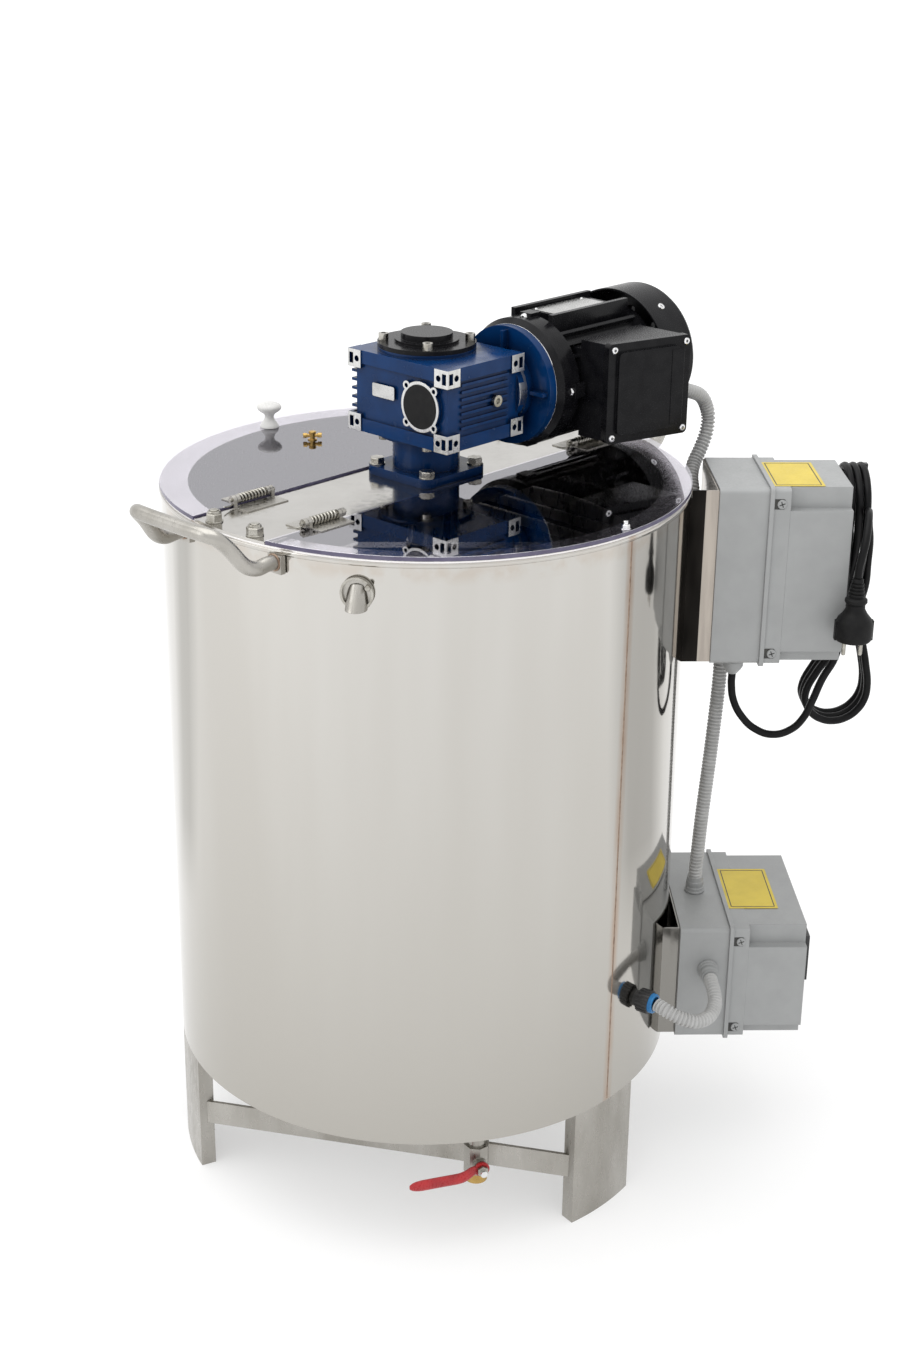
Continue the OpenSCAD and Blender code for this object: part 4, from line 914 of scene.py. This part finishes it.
def box_details(box, name):
    """Cross-slot screws at the four corners of one cover's collar, with painted shade: dark plates
    for their sunk seats and dark crosses for their slots.
    """
    screws, seat_and_slot_shade = Build(), Build()
    for y in (-1, 1):
        for level in (box["high"] - 17, box["low"] + 13):
            at = (BOXES @ shift(box["joint"] + 14, y * (box["half"] + 0.1), level)
                  @ turn(90 * -y, "X"))
            # Painted shade: a dark plate for the screw's sunk seat.
            seat_and_slot_shade.prism(round_rect(13, 12, 2), -0.6, 0.15, at @ shift(-3, 0, 0))
            screws.lathe([(0, 0), (5.4, 0), (5.4, 0.8), (4.8, 1.5), (0, 1.7)], at, 32)
            slot_shade_cross(seat_and_slot_shade, at @ shift(0, 0, 1.4), 3.4, 0.45)
    screws.piece(name + "_cover_screws", "grey_plastic", "grey_plastic")
    seat_and_slot_shade.piece(name + "_cover_slot_shade", "label_ink_and_shade", "black_plastic")


box_details(UPPER, "upper_box")
box_details(LOWER, "lower_box")


def make_label(name, x0, x1, y0, y1, z):
    """A plain yellow plate with a thin dark border."""
    sheet = Build()
    middle = BOXES @ shift((x0 + x1) / 2, (y0 + y1) / 2, z)
    w, h = x1 - x0, y1 - y0
    sheet.prism(round_rect(w, h, 1.5), 0, 0.5, middle)
    sheet.piece(name, "yellow_label", "grey_plastic")
    ink = Build()
    reach_x, reach_y = w / 2 - 4, h / 2 - 4
    for sign in (-1, 1):
        x, y = sign * reach_x, sign * reach_y
        ink.block((x - 0.6, -reach_y, 0.45), (x + 0.6, reach_y, 0.6), middle)
        ink.block((-reach_x, y - 0.6, 0.45), (reach_x, y + 0.6, 0.6), middle)
    ink.piece(name + "_border", "label_ink_and_shade", "black_plastic")


make_label("upper_label", 387.5, 446, -52, 40, UPPER["high"] + 0.02)
make_label("lower_label", 369.5, 430, -51, 51, LOWER["high"] + 0.02)

# ---------- conduits ----------

PITCH = 4.5
STEPS = 6
GROOVE = 1.15


def corrugated(build, path):
    """A corrugated tube along a path: round crests with narrow grooves between."""
    path = even(path, PITCH / STEPS)
    radii = [CONDUIT_R - GROOVE + GROOVE * math.tanh(1.8 * math.cos(math.tau * i / STEPS) + 0.4)
             for i in range(len(path))]
    build.tube(path, radii, 22)


def ringed_nut(build, at, r, h):
    """A round conduit nut with a flange, stepped rings and a narrower mouth."""
    build.lathe([(0, 0), (r, 0), (r + 0.6, 0.8), (r + 0.6, 2.4), (r - 0.3, 3.2),
                 (r - 0.3, h * 0.35), (r - 1.0, h * 0.38), (r - 1.0, h * 0.5),
                 (r - 0.7, h * 0.53), (r - 0.9, h * 0.72), (r - 1.6, h * 0.75), (r - 1.8, h),
                 (0, h)], at, 40)


# Waypoints: from the motor to the upper box in the row frame, and in the frame of the boxes from
# box to box and from the coupling on the tank to the lower box
MOTOR_ROUTE = [(232.9, -156, 930), (249.9, -157, 930), (277, -160, 922), (295, -160, 914),
               (305, -161, 902), (309, -163, 886), (303, -165.5, 868), (291, -167, 851),
               (278, -169, 838), (264, -176.5, 826), (253, -187.7, 813), (245, -195.5, 799),
               (241.5, -199.8, 788), (242, -202, 778), (245, -205.4, 771.5), (250.2, -210.6, 768)]
LINK_ROUTE = [(350, 4, 634), (350, 4, 622), (349, 3, 580), (344, 0, 500), (338, -3, 420),
              (335, -4, 365), (334, -4, 345), (334, -4, 330)]
HEATER_ROUTE = [(268.7, -188.1, 263), (281, -199, 260), (297, -203, 253), (315, -199, 247),
                (331, -186, 246), (340, -166, 250), (341, -148, 256), (340, -134, 259),
                (340, -120, 260)]
pipes = Build()
for route, place in ((MOTOR_ROUTE, Matrix()), (LINK_ROUTE, BOXES), (HEATER_ROUTE, BOXES)):
    corrugated(pipes, [place @ p for p in smooth(route, 8)])
pipes.piece("corrugated_conduits", "grey_conduit", "grey_conduit", replaced=["conduits"], crease=60)

nuts = Build()
ringed_nut(nuts, BOXES @ shift(334, -4, LOWER["high"]), 11.5, 20)
ringed_nut(nuts, BOXES @ shift(340, -LOWER["half"], 260) @ turn(90, "X"), 12, 21)
ringed_nut(nuts, BOXES @ shift(350, 4, UPPER["low"]) @ turn(180, "X"), 11, 9)
gland_x, gland_y, _ = LEAD[0]
nuts.lathe([(0, 0), (12.4, 0), (12.5, 6), (11.6, 6.6), (11.6, 9), (12.4, 9.6), (12.2, 16),
            (10.2, 20), (7.4, 23.4), (5.4, 26), (0, 26)],
           BOXES @ shift(gland_x, gland_y, UPPER["low"]) @ turn(180, "X"), 40)
nuts.piece("conduit_nuts", "grey_plastic", "grey_conduit", bevel=0.2)

coupling = Build()
stand = turn(HEATER_AZ) @ shift(TANK_R - 0.6, 0, HEATER_Z) @ turn(90, "Y")
coupling.lathe([(0, 0), (9.5, 0), (9.5, 5), (12.6, 5.6), (13, 7), (13, 19.5), (12.4, 21), (0, 21)],
               stand, 48)
for k in range(18):
    coupling.block((12.4, -1.1, 6.2), (14.0, 1.1, 20.4), stand @ turn(20 * k))
coupling.piece("coupling_nut", "black_plastic", "black_rubber", replaced=["heater_coupling"],
               bevel=0.3)
ring = Build()
ring.lathe([(8.6, 20.6), (11.6, 20.6), (11.6, 25.2), (10.8, 26.2), (8.6, 26.2)], stand, 48,
           loop=True)
ring.piece("coupling_ring", "blue_ring", "blue_paint", bevel=0.2)

# ---------- drain lever ----------

DRAIN = turn(DRAIN_AZ) @ shift(DRAIN_REACH, 0, 0)
lever = Build()
hub = DRAIN @ shift(22, 0, LEVER_Z)
lever.lathe([(4.2, 0.2), (8.6, 0.2), (9.0, 1.0), (9.0, 3.4), (8.6, 4.2), (4.2, 4.2)],
            hub @ turn(90, "Y"), 48, loop=True)
arm = smooth([(2, -7, 0), (2.6, -12, -1.5), (4.2, -19, -4.6), (5.2, -27, -6.4), (5.4, -40, -7),
              (5.4, -55, -7.6), (5.4, -70, -8.3), (5.4, -86, -9)], 6)
widths = [5.6 + 1.6 * min(1, i / 14) for i in range(len(arm))]
widths[-1] *= 0.35
for i in range(1, 6):
    widths[-1 - i] *= math.sqrt(1 - (1 - i / 6) ** 2)
lever.tube([hub @ p for p in arm], widths, 20, flat=0.45,
           side=DRAIN.to_3x3() @ Vector((0, 0.1, 1)))
lever.piece("lever_grip", "red_vinyl", "red_vinyl", "drain_valve", ["drain_lever"])
nut = Build()
nut.prism(hexagon(12), 4.4, 9.4, hub @ turn(90, "Y"), 0.7)
nut.lathe([(0, 9), (3.4, 9), (3.2, 10.6), (0, 11)], hub @ turn(90, "Y"), 24)
nut.piece("lever_nut", "zinc_fasteners", "zinc_fasteners", "drain_valve", bevel=0.3)

# ---------- floor and light ----------

# In metres
FLOOR_R = 24
LIT_MIDDLE = (0, 0, 0.6)
FLOOR_GLOW = 0.45
WORLD_GLOW = 1.08
NEAR_TONE = (0.52, 0.52, 0.52)
FAR_TONE = (0.70, 0.70, 0.70)
# Azimuth, half width and soft edge in degrees, and the tone of each darker zone
SHADES = ((-34, 9, 13, (0.26, 0.26, 0.255)), (102, 4, 9, (0.36, 0.36, 0.355)))


def make_floor():
    """A pale floor, darker near the part and in two soft zones beside it that the tank mirrors."""
    made = Finish("pale_floor")
    x, y, _ = made.axes()
    reach = made.calculate("SQRT", made.calculate("ADD", made.product(x, x), made.product(y, y)))
    tone = made.mix(made.spread(reach, 0.0, 1.0, 0.5, 4.5), NEAR_TONE, FAR_TONE)
    azimuth = made.calculate("ARCTAN2", y, x)
    shaded = made.product(made.spread(reach, 0.0, 1.0, 0.8, 1.1),
                          made.spread(reach, 1.0, 0.0, 2.6, 3.4))
    for middle, half, soft, tint in SHADES:
        zone = made.band(azimuth, math.radians(middle), math.radians(half), math.radians(soft))
        tone = made.mix(made.product(zone, shaded), tone, tint)
    made.set(Base_Color=tone, Roughness=made.spread(made.noise(300, detail=2.0), 0.55, 0.65),
             Emission_Color=(1, 1, 1), Emission_Strength=FLOOR_GLOW, Specular_IOR_Level=0.1)
    data = bpy.data.meshes.new("floor")
    mesh = bmesh.new()
    bmesh.ops.create_circle(mesh, cap_ends=True, segments=96, radius=FLOOR_R)
    mesh.to_mesh(data)
    mesh.free()
    data.materials.append(made.material)
    floor = bpy.data.objects.new("floor", data)
    bpy.context.scene.collection.objects.link(floor)


def area_light(name, place, size, power):
    """A rectangular lamp that faces the middle of the part."""
    data = bpy.data.lights.new(name, "AREA")
    data.shape = "RECTANGLE"
    data.size, data.size_y = size
    data.energy = power
    lamp = bpy.data.objects.new(name, data)
    lamp.matrix_world = aim(Vector(place), Vector(place) - Vector(LIT_MIDDLE))
    bpy.context.scene.collection.objects.link(lamp)


make_floor()
area_light("overhead", (-0.4, 0.2, 3.0), (3, 3), 40)
area_light("left_side", (-3.0, 1.4, 2.0), (2, 2), 16)

world = bpy.data.worlds.new("studio")
bpy.context.scene.world = world
world.use_nodes = True
background = world.node_tree.nodes["Background"]
background.inputs["Color"].default_value = (1, 1, 1, 1)
background.inputs["Strength"].default_value = WORLD_GLOW
bpy.context.scene.view_settings.view_transform = "Standard"
